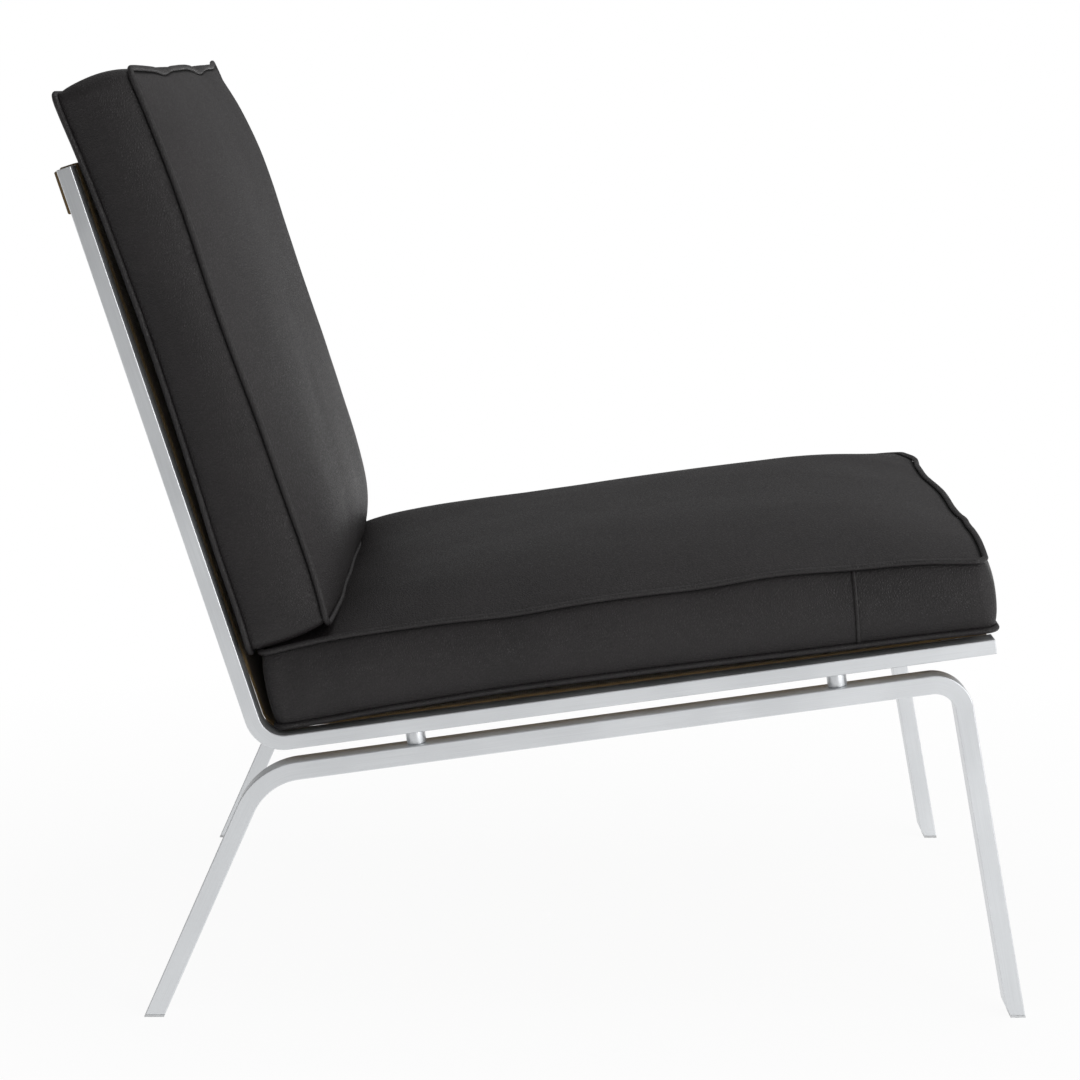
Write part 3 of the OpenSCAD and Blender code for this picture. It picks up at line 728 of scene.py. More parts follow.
SIGNS = {"left": 1, "right": -1}
for side, sign in SIGNS.items():
    for part, spot, ends in (("back", on_back, (SIDE_HEM_START, top_hem + 0.0006)),
                             ("seat", on_seat, (SIDE_HEM_START, front_hem - 0.003))):
        strip = side_hem(f"canvas_{side}_{part}_hem", sign * canvas_half_w, sign, spot, ends)
        put(strip, canvas_finish, "canvas", "frame")

# %% The loop that holds the canvas down in the bend
LOOP_GAP, LOOP_SOFT, LOOP_INSET = 0.00005, 0.00008, 0.0002
loop_r = BEND_BAR_R + LOOP_GAP + LOOP_T / 2
bisector = along(BACK_ANGLE + 90 + RAIL_TURN / 2)
bar_middle = rail_bend_centre + (RAIL_BEND + LOOP_GAP + loop_r + LOOP_T / 2) * bisector


def around(count):
    """Evenly spaced ways round a circle."""
    return [along(360 * q / count) for q in range(count)]


def loop_spot(x, way):
    """A point of the loop, which is a little uneven, as sewn cloth is."""
    r = loop_r + LOOP_SOFT * noise.noise(Vector((x * 45, *way)))
    return in_room(x, bar_middle + r * way)


loop_xs = np.linspace(-canvas_half_w + LOOP_INSET, canvas_half_w - LOOP_INSET, 74)
loop_rings = [[loop_spot(x, way) for way in around(32)] for x in loop_xs]
tie_loop = skinned("canvas_tie_loop", loop_rings, capped=False)
thicken(tie_loop, LOOP_T)
put(tie_loop, canvas_finish, "canvas", "frame", "sling_tie_loop")
print("tie loop: radius", round(loop_r, 5), "m")

# %% Stitches
STITCH_L, STITCH_PITCH, STITCH_R = 0.0034, 0.0045, 0.00042
ROWS_FROM_HEM, ROW_FROM_END, SIDE_ROW_START, SIDE_ROW_END = (0.004, 0.010), 0.006, 0.062, 0.006
# Each ring's radius in stitch radii, and its place in thirds of the stitch's length.
CAPSULE = [(0.15, 0.0), (0.75, 0.35), (1.0, 1.0), (1.0, 2.0), (0.75, 2.65), (0.15, 3.0)]


def stitches(start, end, out):
    """A row of capsules between two points, with the way out of the cloth."""
    start, end, out = (np.array(v, float) for v in (start, end, out))
    total = np.linalg.norm(end - start)
    d = (end - start) / total
    side = np.cross(d, out)
    row = []
    for k in range(int(total / STITCH_PITCH)):
        base = start + d * (k + 0.5) * STITCH_PITCH
        rings = []
        for r, h in CAPSULE:
            rise = math.sin(math.pi * h / 3) * 0.5
            centre = base + d * (h / 3 - 0.5) * STITCH_L + out * STITCH_R * rise
            rings.append([centre + STITCH_R * r * (c * side + s * out) for c, s in around(6)])
        row.append(rings)
    return row


def many_skins(name, parts):
    """One piece from many capped skins, each given by its rings."""
    points, faces, uvs = [], [], []
    for rings in parts:
        more, more_uvs = skin(rings, first=len(points))
        points += [p for ring in rings for p in ring]
        faces += more
        uvs += more_uvs
    return make_piece(name, points, faces, uvs)


def room_way(side_view_way):
    """A way of the side view as a way in the room."""
    return np.array([0, -side_view_way[0], side_view_way[1]])


behind, below = room_way(across(BACK_ANGLE)), room_way(-across(SEAT_PITCH))
x_end, side_x = canvas_half_w - 0.006, canvas_half_w - SIDE_HEM_W + 0.002
side_h = RAIL_T - 0.0007 - SIDE_HEM_T
sewn = []
for spot, hem, bar_end, thick, out in ((on_back, top_hem, BACK_RAIL_L, TOP_HEM_T, behind),
                                       (on_seat, front_hem, front_bar_end, HEM_T, below)):
    for s in (*(hem + d for d in ROWS_FROM_HEM), bar_end - ROW_FROM_END):
        sewn += stitches(in_room(-x_end, spot(s, -thick)), in_room(x_end, spot(s, -thick)), out)
for sign in SIGNS.values():
    for spot, hem, out in ((on_back, top_hem, behind), (on_seat, front_hem, below)):
        sewn += stitches(in_room(sign * side_x, spot(SIDE_ROW_START, side_h)),
                         in_room(sign * side_x, spot(hem - SIDE_ROW_END, side_h)), out)
canvas_stitches = put(many_skins("canvas_stitches", sewn), thread_finish, "canvas", "frame")
2 * canvas_half_w
print("canvas stitches:", len(sewn))

# %% [markdown]
# ## The cushions
# Each cushion is a leather box: a top panel, a bottom panel and a strip between them, called the
# boxing. The panels are cut a little smaller than the foam, so the leather is stretched over it,
# the seams are pulled in between the corners, and the top rises to a soft crown. A piping is sewn
# into both seams. The mesh is laid out the way the leather is cut: a grid for each panel, fine near
# the seams and coarse in the middle, and rows of quads for the boxing.

# %% What a cushion is
HALF_W, PIPING_R, CORNER_R = 0.296, 0.0025, 0.012
LOW_SEAM, SEAM_LIFT, LOW_SEAM_LIFT, SIDE_PULL = 0.0047, 0.008, 0.0045, 0.003
SEAM_INSET, SEAM_DROP, ROLL_H, ROLL_W = PIPING_R + 0.0019, 0.0013, 0.0012, 0.0026


class Cushion:
    """A cushion in its own frame: x across the chair, y along it, z off the canvas."""

    def __init__(self, name, along_way, out, far_piping, **cut):
        self.name, self.body = name, name + "_cushion"
        self.half_l, self.seam, self.crown = cut["half_l"], cut["seam"], cut["crown"]
        # The side with the zip, and how full the panel stays towards that side and the other.
        self.zip_side, self.powers = cut["zip_side"], cut["powers"]
        self.pressed, self.end_pull = cut["pressed"], cut["end_pull"]
        # How far each seam stands out past the box at the side with the zip and at the far side.
        self.lean = {"upper": cut["upper_lean"], "lower": cut["lower_lean"]}
        self.y_way, self.z_way = room_way(along_way), room_way(out)
        piping = np.array([v.co for v in nodes[far_piping].data.vertices], float)
        middle = (piping @ self.y_way).max() - self.half_l
        plane = np.array(in_room(0, rail_corner + CUSHION_REST * out))
        self.origin = plane + (middle - plane @ self.y_way) * self.y_way
        self.waves, self.low_waves = [], []

    def in_room(self, points):
        p = np.asarray(points, float)
        return (self.origin + p[..., :1] * ACROSS_CHAIR + p[..., 1:2] * self.y_way
                + p[..., 2:] * self.z_way)

    def seam_point(self, x, y, upper):
        """Height of a seam at one place."""
        height = upper_seam if upper else lower_seam
        return float(height(self, np.array(x), np.array(y)))


seat = Cushion("seat", -along(SEAT_PITCH), across(SEAT_PITCH), "seat_upper_piping",
               half_l=0.295, seam=0.0652, crown=0.030, zip_side=1, powers=(2, 4), pressed=0.6,
               end_pull=0.0, upper_lean=(0.0058, 0.0), lower_lean=(0.0015, 0.0046))
back = Cushion("back", along(BACK_ANGLE), -across(BACK_ANGLE), "back_front_piping",
               half_l=0.2365, seam=0.0667, crown=0.0225, zip_side=-1, powers=(8, 6), pressed=0.0,
               end_pull=1.0, upper_lean=(0.0, 0.0), lower_lean=(0.0044, 0.0006))
for c in (seat, back):
    print(c.name, "cushion's middle:", c.origin.round(4), "up:", c.z_way.round(3))

# %% [markdown]
# ### Seams
# A sewn seam is never a ruler line. The upper seams lie low at the corners and rise between them,
# and where the leather was eased in they dip or kink. The dips are listed by place, with how far
# each reaches. They act on the seam and fade into the panel, as a real pull does.

# %% Where the seams dip, kink and are pulled in: x, y, reach, up, inwards
seat.waves = [
    (-0.296, -0.062, 0.032, -0.0012, 0.0006), (-0.296, -0.190, 0.050, -0.0019, 0.0010),
    (-0.296, 0.090, 0.042, -0.0023, -0.0005), (-0.296, 0.245, 0.050, 0.0015, 0.0),
    (-0.296, -0.130, 0.040, 0.0016, 0.0), (-0.296, -0.255, 0.030, -0.0012, 0.0),
    (-0.122, -0.295, 0.024, -0.0009, -0.0014), (0.196, -0.295, 0.019, -0.0013, 0.0),
    (0.203, -0.295, 0.028, 0.0002, -0.0026), (0.165, -0.295, 0.050, 0.0012, -0.0028),
    (-0.205, -0.295, 0.058, 0.0, -0.0040), (0.000, -0.295, 0.110, 0.0018, -0.0052),
    (0.240, -0.295, 0.035, 0.0, -0.0026), (-0.270, -0.295, 0.040, 0.0, -0.0016),
    (-0.290, -0.290, 0.030, -0.0034, 0.0), (-0.150, -0.295, 0.022, 0.0, -0.0024),
    (0.225, -0.295, 0.030, 0.0008, -0.0030), (0.285, -0.285, 0.055, 0.0052, -0.0010),
    (0.296, -0.120, 0.045, -0.0030, 0.0008),
    (0.296, 0.060, 0.060, -0.0018, 0.0), (0.180, 0.235, 0.055, 0.0100, 0.0),
    (0.180, 0.165, 0.065, 0.0054, 0.0), (0.150, 0.030, 0.120, -0.0010, 0.0),
    (0.200, -0.235, 0.060, 0.0032, 0.0)]
seat.low_waves = [
    (-0.296, -0.130, 0.090, -0.0012, 0.0), (-0.296, 0.100, 0.060, 0.0006, 0.0),
    (-0.296, 0.270, 0.045, -0.0012, 0.0), (0.296, 0.050, 0.080, -0.0007, 0.0)]
back.waves = [
    (-0.160, 0.2365, 0.034, -0.0004, 0.0036), (0.085, 0.2365, 0.042, -0.0004, 0.0048),
    (-0.030, 0.2365, 0.050, 0.0008, -0.0006), (-0.280, 0.2365, 0.045, -0.0004, -0.0018),
    (0.285, 0.2365, 0.034, 0.0, -0.0040), (-0.296, 0.045, 0.085, -0.0034, 0.0),
    (-0.296, 0.185, 0.075, -0.0024, 0.0), (-0.296, -0.060, 0.045, 0.0005, 0.0),
    (-0.296, -0.2365, 0.095, 0.0066, 0.0), (-0.170, -0.2365, 0.060, 0.0028, 0.0),
    (-0.050, -0.2365, 0.045, 0.0016, 0.0), (0.120, -0.190, 0.060, 0.0025, 0.0),
    (0.150, 0.135, 0.060, 0.0018, 0.0), (0.150, -0.125, 0.050, -0.0016, 0.0),
    (0.296, 0.020, 0.070, -0.0014, 0.0010)]
back.low_waves = [
    (-0.296, 0.020, 0.090, 0.0018, 0.0), (-0.296, -0.075, 0.050, 0.0006, 0.0),
    (-0.296, -0.215, 0.050, 0.0024, 0.0), (-0.296, 0.225, 0.045, -0.0022, 0.0),
    (0.296, -0.060, 0.090, 0.0014, 0.0)]
for c in (seat, back):
    print(c.name, "dips in the upper seam:", len(c.waves), "in the lower:", len(c.low_waves))


# %% Seam heights and panel heights
def rise(t, power):
    """From 0 in the middle to 1 at the edge. A high power keeps it low until near the edge."""
    return np.minimum(1, np.abs(t)) ** power


def fall(t, power):
    """The same from 1 to 0."""
    return 1 - rise(t, power)


def lift_at(c, x, y):
    """Share of the lift between the corners, less where the other cushion presses."""
    u, v = x / HALF_W, y / c.half_l
    least = np.where(v * c.zip_side > 0, c.pressed, 0)
    return 1 - np.maximum(rise(u, 4), least) * rise(v, 4)


def wave_at(c, x, y, column, upper=True):
    """What the listed dips add up to here: their heights (0) or inward moves (1)."""
    total = np.zeros(np.shape(x))
    for wx, wy, reach, *amounts in c.waves if upper else c.low_waves:
        total = total + amounts[column] * np.exp(-((x - wx) ** 2 + (y - wy) ** 2) / reach ** 2)
    return total


def upper_seam(c, x, y):
    """Height of the upper seam over the canvas, carried on over the panel."""
    return c.seam + SEAM_LIFT * lift_at(c, x, y) + wave_at(c, x, y, 0)


def lower_seam(c, x, y):
    """Height of the lower seam, lowest at the corners."""
    side = fall(x / HALF_W, 4) if c is seat else fall(x / HALF_W, 2)
    return (LOW_SEAM + LOW_SEAM_LIFT * np.maximum(side, fall(y / c.half_l, 2))
            + wave_at(c, x, y, 0, False))


def pulled(c, x, y, upper=True):
    """Plan of a point with the seams pulled in between the corners."""
    u, v = x / HALF_W, y / c.half_l
    at_zip = v * c.zip_side > 0
    push_x = np.sign(u) * rise(u, 8) * fall(v, 4)
    push_y = np.where(at_zip, 0, c.end_pull * np.sign(v) * rise(v, 8) * fall(u, 4))
    near_x, near_y = rise(u, 8), rise(v, 8)
    zip_lean, far_lean = c.lean["upper" if upper else "lower"]
    inward = wave_at(c, x, y, 1, upper)
    end_move = (inward - np.where(at_zip, zip_lean, far_lean)) * np.sign(v) * near_y
    return (x - SIDE_PULL * push_x - inward * np.sign(u) * near_x * (1 - near_y),
            y - SIDE_PULL * push_y - end_move)


def panel_z(c, x, y):
    """Height of the top panel, with the roll beside its seam."""
    u, v = x / (HALF_W - SEAM_INSET), y / (c.half_l - SEAM_INSET)
    zip_part = np.where(v * c.zip_side > 0, fall(v, c.powers[0]), fall(v, c.powers[1]))
    edge = np.minimum((1 - np.minimum(np.abs(u), 1)) * HALF_W,
                      (1 - np.minimum(np.abs(v), 1)) * c.half_l)
    roll = (SEAM_DROP + ROLL_H) * (1 - np.exp(-edge / ROLL_W)) - SEAM_DROP
    return upper_seam(c, x, y) + c.crown * fall(u, 4) * zip_part + roll


def underside_z(c, x, y):
    """Height of the bottom panel, which lies flat on the canvas but for its edges."""
    u, v = x / (HALF_W - SEAM_INSET), y / (c.half_l - SEAM_INSET)
    return np.maximum(0, lower_seam(c, x, y) - 2 * LOW_SEAM * fall(u, 6) * fall(v, 6))


for c in (seat, back):
    print(c.name, "cushion's thickness in the middle:", round(float(panel_z(c, 0.0, 0.0)), 4), "m")

# %% [markdown]
# ### The leather skin
# A panel with round corners still wants an even grid. Inside each corner's square the grid is bent
# so that the square's two outer edges become the round of the corner, and every quad stays a good
# one. The boxing goes round the outer ring of the two grids. It swells to a low roll just off the
# piping and to a soft bulge in the middle. The skin also notes how far each of its points is from
# the nearest seam, and the finish uses that to paint shade into the groove beside the piping.

# %% Lines of the panel's grid
BOXING_SHARES = (0.018, 0.045, 0.09, 0.16, 0.26, 0.38, 0.5, 0.62, 0.74, 0.84, 0.91, 0.955, 0.982)
BOXING_W, GRID_STEP = 0.063, 0.008


def grid_line(half, corner):
    """Places of the grid lines between two sides, close together near the corners."""
    near = np.array([0, 0.16, 0.36, 0.58, 0.80]) * corner
    count = int(round((2 * half - 2 * corner) / GRID_STEP)) + 1
    middle = np.linspace(corner, 2 * half - corner, count)
    return np.concatenate([near, middle, 2 * half - near[::-1]]) - half


def bend_corners(x, y, half_x, half_y, r):
    """Moves the grid points in the corner squares so that the outline gets round corners."""
    p, q = np.maximum(np.abs(x) - half_x + r, 0) / r, np.maximum(np.abs(y) - half_y + r, 0) / r
    inside = (p > 0) & (q > 0)
    bent_x = half_x - r + r * p * np.sqrt(1 - q * q / 2)
    bent_y = half_y - r + r * q * np.sqrt(1 - p * p / 2)
    return np.where(inside, np.sign(x) * bent_x, x), np.where(inside, np.sign(y) * bent_y, y)


print("grid lines across a cushion:", len(grid_line(HALF_W - SEAM_INSET, CORNER_R - SEAM_INSET)))

# %% The rim of a panel, and how the boxing swells there
SIDE_ROLL, SIDE_PUFF, FAR_PUFF, WIDE_PUFF, LEAST_PUFF = 0.0019, 0.0040, 2.0, 0.7, 0.25
ZIP_PUFF, END_BAND = 0.3, 0.02


def panel_rim(nx, ny):
    """Indices of a panel's outer ring, in order round it."""
    return (list(range(nx - 1)) + [k * nx + nx - 1 for k in range(ny - 1)]
            + [(ny - 1) * nx + i for i in range(nx - 1, 0, -1)]
            + [k * nx for k in range(ny - 1, 0, -1)])


def side_puff(c, rim, outward, puff):
    """How far the boxing swells at each point of the rim: little at corners and at the zip."""
    free = np.maximum(fall(rim[:, 0] / HALF_W, 10), fall(rim[:, 1] / c.half_l, 10))
    free = np.where(rim[:, 1] * c.zip_side > c.half_l - END_BAND, ZIP_PUFF, free)
    at_far_side = rim[:, 1] * c.zip_side < END_BAND - c.half_l
    side = np.where(at_far_side, FAR_PUFF, 1.0 + WIDE_PUFF * np.abs(outward[:, 0]))
    return side * puff * (LEAST_PUFF + (1 - LEAST_PUFF) * free)


print("rim of a grid of 4 by 3 points:", panel_rim(4, 3))


# %% The whole skin of a cushion
def skin_faces(nx, ny, ring, rows):
    """Quads of both panels and of the boxing between them."""
    m, start, faces = len(ring), 2 * nx * ny, []
    for k in range(ny - 1):
        for i in range(nx - 1):
            a = k * nx + i
            faces.append([a, a + 1, a + nx + 1, a + nx])
            faces.append([nx * ny + q for q in (a, a + nx, a + nx + 1, a + 1)])
    bands = ([ring] + [[start + k * m + i for i in range(m)] for k in range(rows)]
             + [[nx * ny + q for q in ring]])
    for above, under in zip(bands, bands[1:]):
        faces += [[above[i - 1], under[i - 1], under[i], above[i]] for i in [*range(1, m), 0]]
    return faces


def cushion_skin(c, depth=0.0, puff=SIDE_PUFF):
    """The cushion's closed skin, or that of its foam at a depth: its points, faces and facts."""
    inset = SEAM_INSET + depth
    half_x, half_y, r = HALF_W - inset, c.half_l - inset, CORNER_R - SEAM_INSET
    xs, ys = grid_line(half_x, r), grid_line(half_y, r)
    nx, ny = len(xs), len(ys)
    gx, gy = bend_corners(*np.meshgrid(xs, ys), half_x, half_y, r)
    top_x, top_y = pulled(c, gx, gy)
    low_x, low_y = pulled(c, gx, gy, False)
    top = np.stack([top_x, top_y, panel_z(c, gx, gy) - depth], -1).reshape(-1, 3)
    low = np.stack([low_x, low_y, underside_z(c, gx, gy) + depth], -1).reshape(-1, 3)
    ring = panel_rim(nx, ny)
    rim = np.stack([gx.ravel()[ring], gy.ravel()[ring]], -1)
    tangent = np.roll(rim, -1, 0) - np.roll(rim, 1, 0)
    outward = (np.stack([tangent[:, 1], -tangent[:, 0]], -1)
               / np.linalg.norm(tangent, axis=1)[:, None])
    puffs = side_puff(c, rim, outward, puff)
    grid_edge = np.minimum(half_x - np.abs(xs)[None, :], half_y - np.abs(ys)[:, None]).ravel()
    rows, from_seam = [], [grid_edge, grid_edge]
    for w in BOXING_SHARES:
        row = top[ring] * (1 - w) + low[ring] * w
        bulge = SIDE_ROLL * (1 - abs(2 * w - 1) ** 5) + puffs * (1 - (2 * w - 1) ** 2)
        row[:, :2] += outward * bulge[:, None]
        rows.append(row)
        from_seam.append(np.full(len(ring), min(w, 1 - w) * BOXING_W))
    facts = {"ring": ring, "panel": nx * ny, "from_seam": np.concatenate(from_seam)}
    return np.concatenate([top, low] + rows), skin_faces(nx, ny, ring, len(rows)), facts


# %% [markdown]
# ### Stuffing
# The panels are stretched over foam, and no formula draws that as well as a simulation does. The
# skin is held at its seams and along its underside, and air pressure fills it for twenty frames.
# Each point may only move by a capped distance, and less where the two cushions meet, so the
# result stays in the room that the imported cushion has. The moves are averaged with those of the
# points around, because thick leather doesn't keep a ripple as narrow as a quad.

# %% Fill a cushion with a short cloth simulation
PRESSURE, FRAMES, MOST_MOVE, AVERAGINGS = 4.0, 20, 0.004, 3


def vertex_places(mesh):
    return np.array([v.co for v in mesh.vertices], float)


def move_vertices(mesh, places):
    mesh.vertices.foreach_set("co", places.astype(np.float32).ravel())
    mesh.update()


def run_cloth(piece, held):
    """Fills the piece with air for some frames, and returns how far each point moved."""
    rest = vertex_places(piece.data)
    group = piece.vertex_groups.new(name="held")
    group.add([int(i) for i in held], 1.0, "REPLACE")
    cloth = piece.modifiers.new("stuffing", "CLOTH")
    cloth.point_cache.frame_start, cloth.point_cache.frame_end = 1, FRAMES
    s = cloth.settings
    s.quality, s.mass, s.air_damping = 5, 0.4, 2.0
    s.tension_stiffness = s.compression_stiffness = 25.0
    s.shear_stiffness, s.bending_stiffness = 8.0, 12.0
    s.use_pressure, s.uniform_pressure_force = True, PRESSURE
    s.vertex_group_mass, s.pin_stiffness = "held", 1.0
    s.effector_weights.gravity = 0.0
    cloth.collision_settings.use_collision = False
    for f in range(1, FRAMES + 1):
        scene.frame_set(f)
    settled = applied(piece)
    moved = vertex_places(settled) - rest
    bpy.data.meshes.remove(settled)
    piece.modifiers.remove(cloth)
    scene.frame_set(1)
    return moved


def fill_up(piece, c, held, ease):
    """Runs the cloth, and writes the capped and averaged result back into the mesh."""
    moved = run_cloth(piece, held)
    far = np.linalg.norm(moved, axis=1)
    capped = MOST_MOVE * np.tanh(far / MOST_MOVE) / np.maximum(far, 1e-9)
    share = np.where(far > 1e-9, capped, 0) * ease
    moved = moved * share[:, None]
    ends = np.array([e.vertices for e in piece.data.edges])
    degree = np.bincount(ends.ravel(), minlength=len(moved))[:, None]
    fixed = np.isin(np.arange(len(moved)), held)[:, None]
    for _ in range(AVERAGINGS):
        total = np.zeros_like(moved)
        np.add.at(total, ends[:, 0], moved[ends[:, 1]])
        np.add.at(total, ends[:, 1], moved[ends[:, 0]])
        moved = np.where(fixed, moved, 0.5 * moved + 0.5 * total / degree)
    move_vertices(piece.data, vertex_places(piece.data) + moved)
    print(c.name, "cushion moved by up to", round(float((far * share).max()) * 1000, 1),
          "mm; uncapped", round(float(far.max()) * 1000, 1))


# %% Creases, and what the seams need for the last smoothing
CREASE_SEED, CONTACT = {"seat": 3.0, "back": 17.0}, {"seat": (0.11, 0.09), "back": (0.03, 0.02)}
BROAD_H, FINE_H, EVEN_EDGE, PUCKER_H, PUCKER_REACH = 0.0016, 0.00035, 0.05, 0.0005, 0.016


def crease_field(c, p):
    """Broad unevenness of the foam and small puckers that start at the seams, in metres."""
    x, y, seed = p[0], p[1], CREASE_SEED[c.name]
    edge = min(HALF_W - abs(x), c.half_l - abs(y))
    broad = noise.noise(Vector((x * 7, y * 7, seed))) * BROAD_H
    fine = noise.noise(Vector((x * 26, y * 26, seed + 5))) * FINE_H
    along_seam = y if HALF_W - abs(x) < c.half_l - abs(y) else x
    pucker = noise.noise(Vector((along_seam * 55, edge * 12, seed + 9)))
    return ((broad + fine) * min(1, edge / EVEN_EDGE)
            + pucker * PUCKER_H * math.exp(-max(edge, 0) / PUCKER_REACH))


def contact_ease(c, y):
    """Fades to nothing where the two cushions meet: under the back one, and at its lower end."""
    from_end, reach = CONTACT[c.name]
    return 1 - np.clip((y * c.zip_side - (c.half_l - from_end)) / reach, 0, 1)


def note_seams(mesh, ring, panel, from_seam):
    """Creases the two seams, and stores how near each point is to one of them."""
    seam = {tuple(sorted((a, b))) for r in (ring, [panel + q for q in ring])
            for a, b in zip(r, r[1:] + r[:1])}
    sharp = mesh.attributes.new("crease_edge", "FLOAT", "EDGE")
    for e in mesh.edges:
        sharp.data[e.index].value = 1.0 if tuple(sorted(e.vertices)) in seam else 0.0
    nearness = np.clip(1.0 - from_seam / SEAM_REACH, 0.0, 1.0)
    near_seam = mesh.attributes.new("near_seam", "FLOAT", "POINT")
    near_seam.data.foreach_set("value", nearness.astype(np.float32))


print("crease at the seat's middle:", round(crease_field(seat, (0, 0)) * 1000, 2), "mm")

# %% A leather cover, from its skin to its last smoothing
SEAM_REACH = 0.010


def leather_cover(c, finish):
    """One cover: its skin, stuffed, creased, smoothed and dressed."""
    points, faces, facts = cushion_skin(c)
    ring, panel = facts["ring"], facts["panel"]
    cover = make_piece(c.name + "_leather", c.in_room(points), faces)
    held = sorted(set(ring) | set(range(panel, 2 * panel)))
    ease = contact_ease(c, points[:, 1])
    fill_up(cover, c, held, ease)
    lift = np.array([crease_field(c, p) for p in points])
    lift[panel:] = 0
    move_vertices(cover.data,
                  vertex_places(cover.data) + lift[:, None] * c.z_way * ease[:, None])
    note_seams(cover.data, ring, panel, facts["from_seam"])
    smooth = cover.modifiers.new("smooth leather", "SUBSURF")
    smooth.levels = smooth.render_levels = 1
    final = applied(cover)
    cover.modifiers.clear()
    cover.data = final
    cover.data.shade_smooth()
    cover.vertex_groups.clear()
    put(cover, finish, "black_leather", c.body, c.name + "_cover")
    print(cover.name, "faces:", len(cover.data.polygons))
    return cover


# %% [markdown]
# ## Leather finish
# The leather is black with a fine, slightly uneven grain. From a step away it reads as nearly
# matt, with a soft shine where the skin turns away. The grain is a cell pattern about a millimetre
# wide with its edges pressed in, under broader pores and faint stretch marks. The colour and the
# shine vary a little with the same patterns, and the leather is a touch lighter in broad patches.
# Beside the piping it is pulled in so deep that hardly any light gets there, and that shade is
# painted into its colour. A mesh point there carries its nearness to the seam, and an Attribute
# node reads that to paint the groove dark.

# %% Leather, and the leather of the pipings
# Painted shade in the groove beside the piping: where it starts and ends from the seam, and its
# colour.
GROOVE_FLOOR, GROOVE_EDGE, GROOVE_SHADE_COLOUR = 0.0012, 0.0032, (0.0016, 0.0014, 0.0014)


def leather_finish(name, dark, pale, dull, sewn=False):
    """Grained leather. A sewn one also gets painted shade in the groove beside its seams."""
    hide = Finish(name)
    where = hide.place()
    wander = hide.noise(where, 160.0, 2.0)
    shifted = where + wander * 0.0012
    cells = hide.node("ShaderNodeTexVoronoi", {"feature": "DISTANCE_TO_EDGE"},
                      {"Vector": shifted, "Scale": 480.0, "Randomness": 1.0})
    grain = hide.between(cells, 0.0, 0.28)
    pores = hide.noise(where, 330.0, 3.0, 0.65)
    flecks = hide.between(hide.noise(where, 620.0, 1.0), 0.45, 0.66)
    marks = hide.noise(where, 26.0, 4.0, 0.6, 0.4)
    cloud = hide.between(hide.noise(where, 7.0, 3.0, 0.55), 0.3, 0.7)
    height = grain * 0.55 + pores * 0.30 + marks * 0.5
    shade = cloud * 0.45 + hide.between(marks, 0.35, 0.65) * 0.20 + grain * 0.15 + flecks * 0.20
    colour = hide.tint(shade, dark, pale)
    rough = dull + pores * 0.10 - flecks * 0.13 + cloud * 0.09
    if sewn:
        near_seam = hide.node("ShaderNodeAttribute", {"attribute_name": "near_seam"}, out="Fac")
        # Painted shade: the groove beside the piping is painted nearly black, because little light
        # gets in there.
        groove_shade = hide.between(near_seam, 1 - GROOVE_EDGE / SEAM_REACH,
                              1 - GROOVE_FLOOR / SEAM_REACH)
        colour, rough = hide.tint(groove_shade, colour, GROOVE_SHADE_COLOUR), rough + groove_shade * 0.3
    return hide.surface(
        Base_Color=colour, Roughness=rough, Normal=hide.bump(height, 0.00042, 1.0),
        Specular_IOR_Level=0.30)


cushion_leather = leather_finish("cushion_leather", (0.0080, 0.0069, 0.0072),
                                 (0.0232, 0.0205, 0.0212), 0.44, True)
# The pipings' leather, also used on the welts, is a little paler than the cushions'. This is partly
# its own tone and partly a painted highlight for the light line along each piping.
piping_leather = leather_finish("piping_leather", (0.0105, 0.0094, 0.0097),
                                (0.0260, 0.0236, 0.0242), 0.38)
print("leathers:", cushion_leather.name, "and", piping_leather.name)

# %% The two covers
seat_cover, back_cover = (leather_cover(c, cushion_leather) for c in (seat, back))

# %% [markdown]
# ### Piping
# Piping is a cord wrapped in a strip of leather and sewn into the seam. It is a tube that follows
# the seam's own curve, so it is made after the stuffing, from the same seam heights. A wrapped
# strip is never quite even, and the tube's thickness varies by a tenth of a millimetre.

# %% Four pipings
PIPING_STEP, PIPING_CORNER_STEPS = 0.004, 12


def rim_points(half_x, half_y, r):
    """Points and outward ways round a rectangle with round corners."""
    centres = [np.array([sx * (half_x - r), sy * (half_y - r)])
               for sx, sy in ((1, 1), (-1, 1), (-1, -1), (1, -1))]
    out = []
    for q, (centre, following) in enumerate(zip(centres, centres[1:] + centres[:1])):
        for k in range(PIPING_CORNER_STEPS + 1):
            way = along(90 * q + 90 * k / PIPING_CORNER_STEPS)
            out.append((centre + r * way, way))
        way = along(90 * (q + 1))
        count = int(np.linalg.norm(following - centre) / PIPING_STEP)
        out += [(centre + (following - centre) * k / count + r * way, way)
                for k in range(1, count)]
    return out


def piping(c, name, upper, cad_node):
    """A cord in leather, along one of a cushion's two seams."""
    rings = []
    for p, way in rim_points(HALF_W - PIPING_R, c.half_l - PIPING_R, CORNER_R - PIPING_R):
        x, y = pulled(c, p[0], p[1], upper)
        z = c.seam_point(p[0], p[1], upper)
        r = PIPING_R * (1 + 0.03 * noise.noise(Vector((p[0] * 90, p[1] * 90, c.seam * 100))))
        wobble = 0.0003 * noise.noise(Vector((p[0] * 16, p[1] * 16, 8.0 + upper)))
        rings.append(c.in_room([(x + way[0] * r * a, y + way[1] * r * a, z + wobble + r * b)
                                for a, b in around(12)]))
    tube = skinned(f"{c.name}_{name}_piping", rings, looped=True)
    put(tube, piping_leather, "piping_leather", c.body, cad_node)
    print(tube.name, "rings:", len(rings))


piping(seat, "top", True, "seat_upper_piping")
piping(seat, "base", False, "seat_lower_piping")
piping(back, "face", True, "back_front_piping")
piping(back, "base", False, "back_rear_piping")

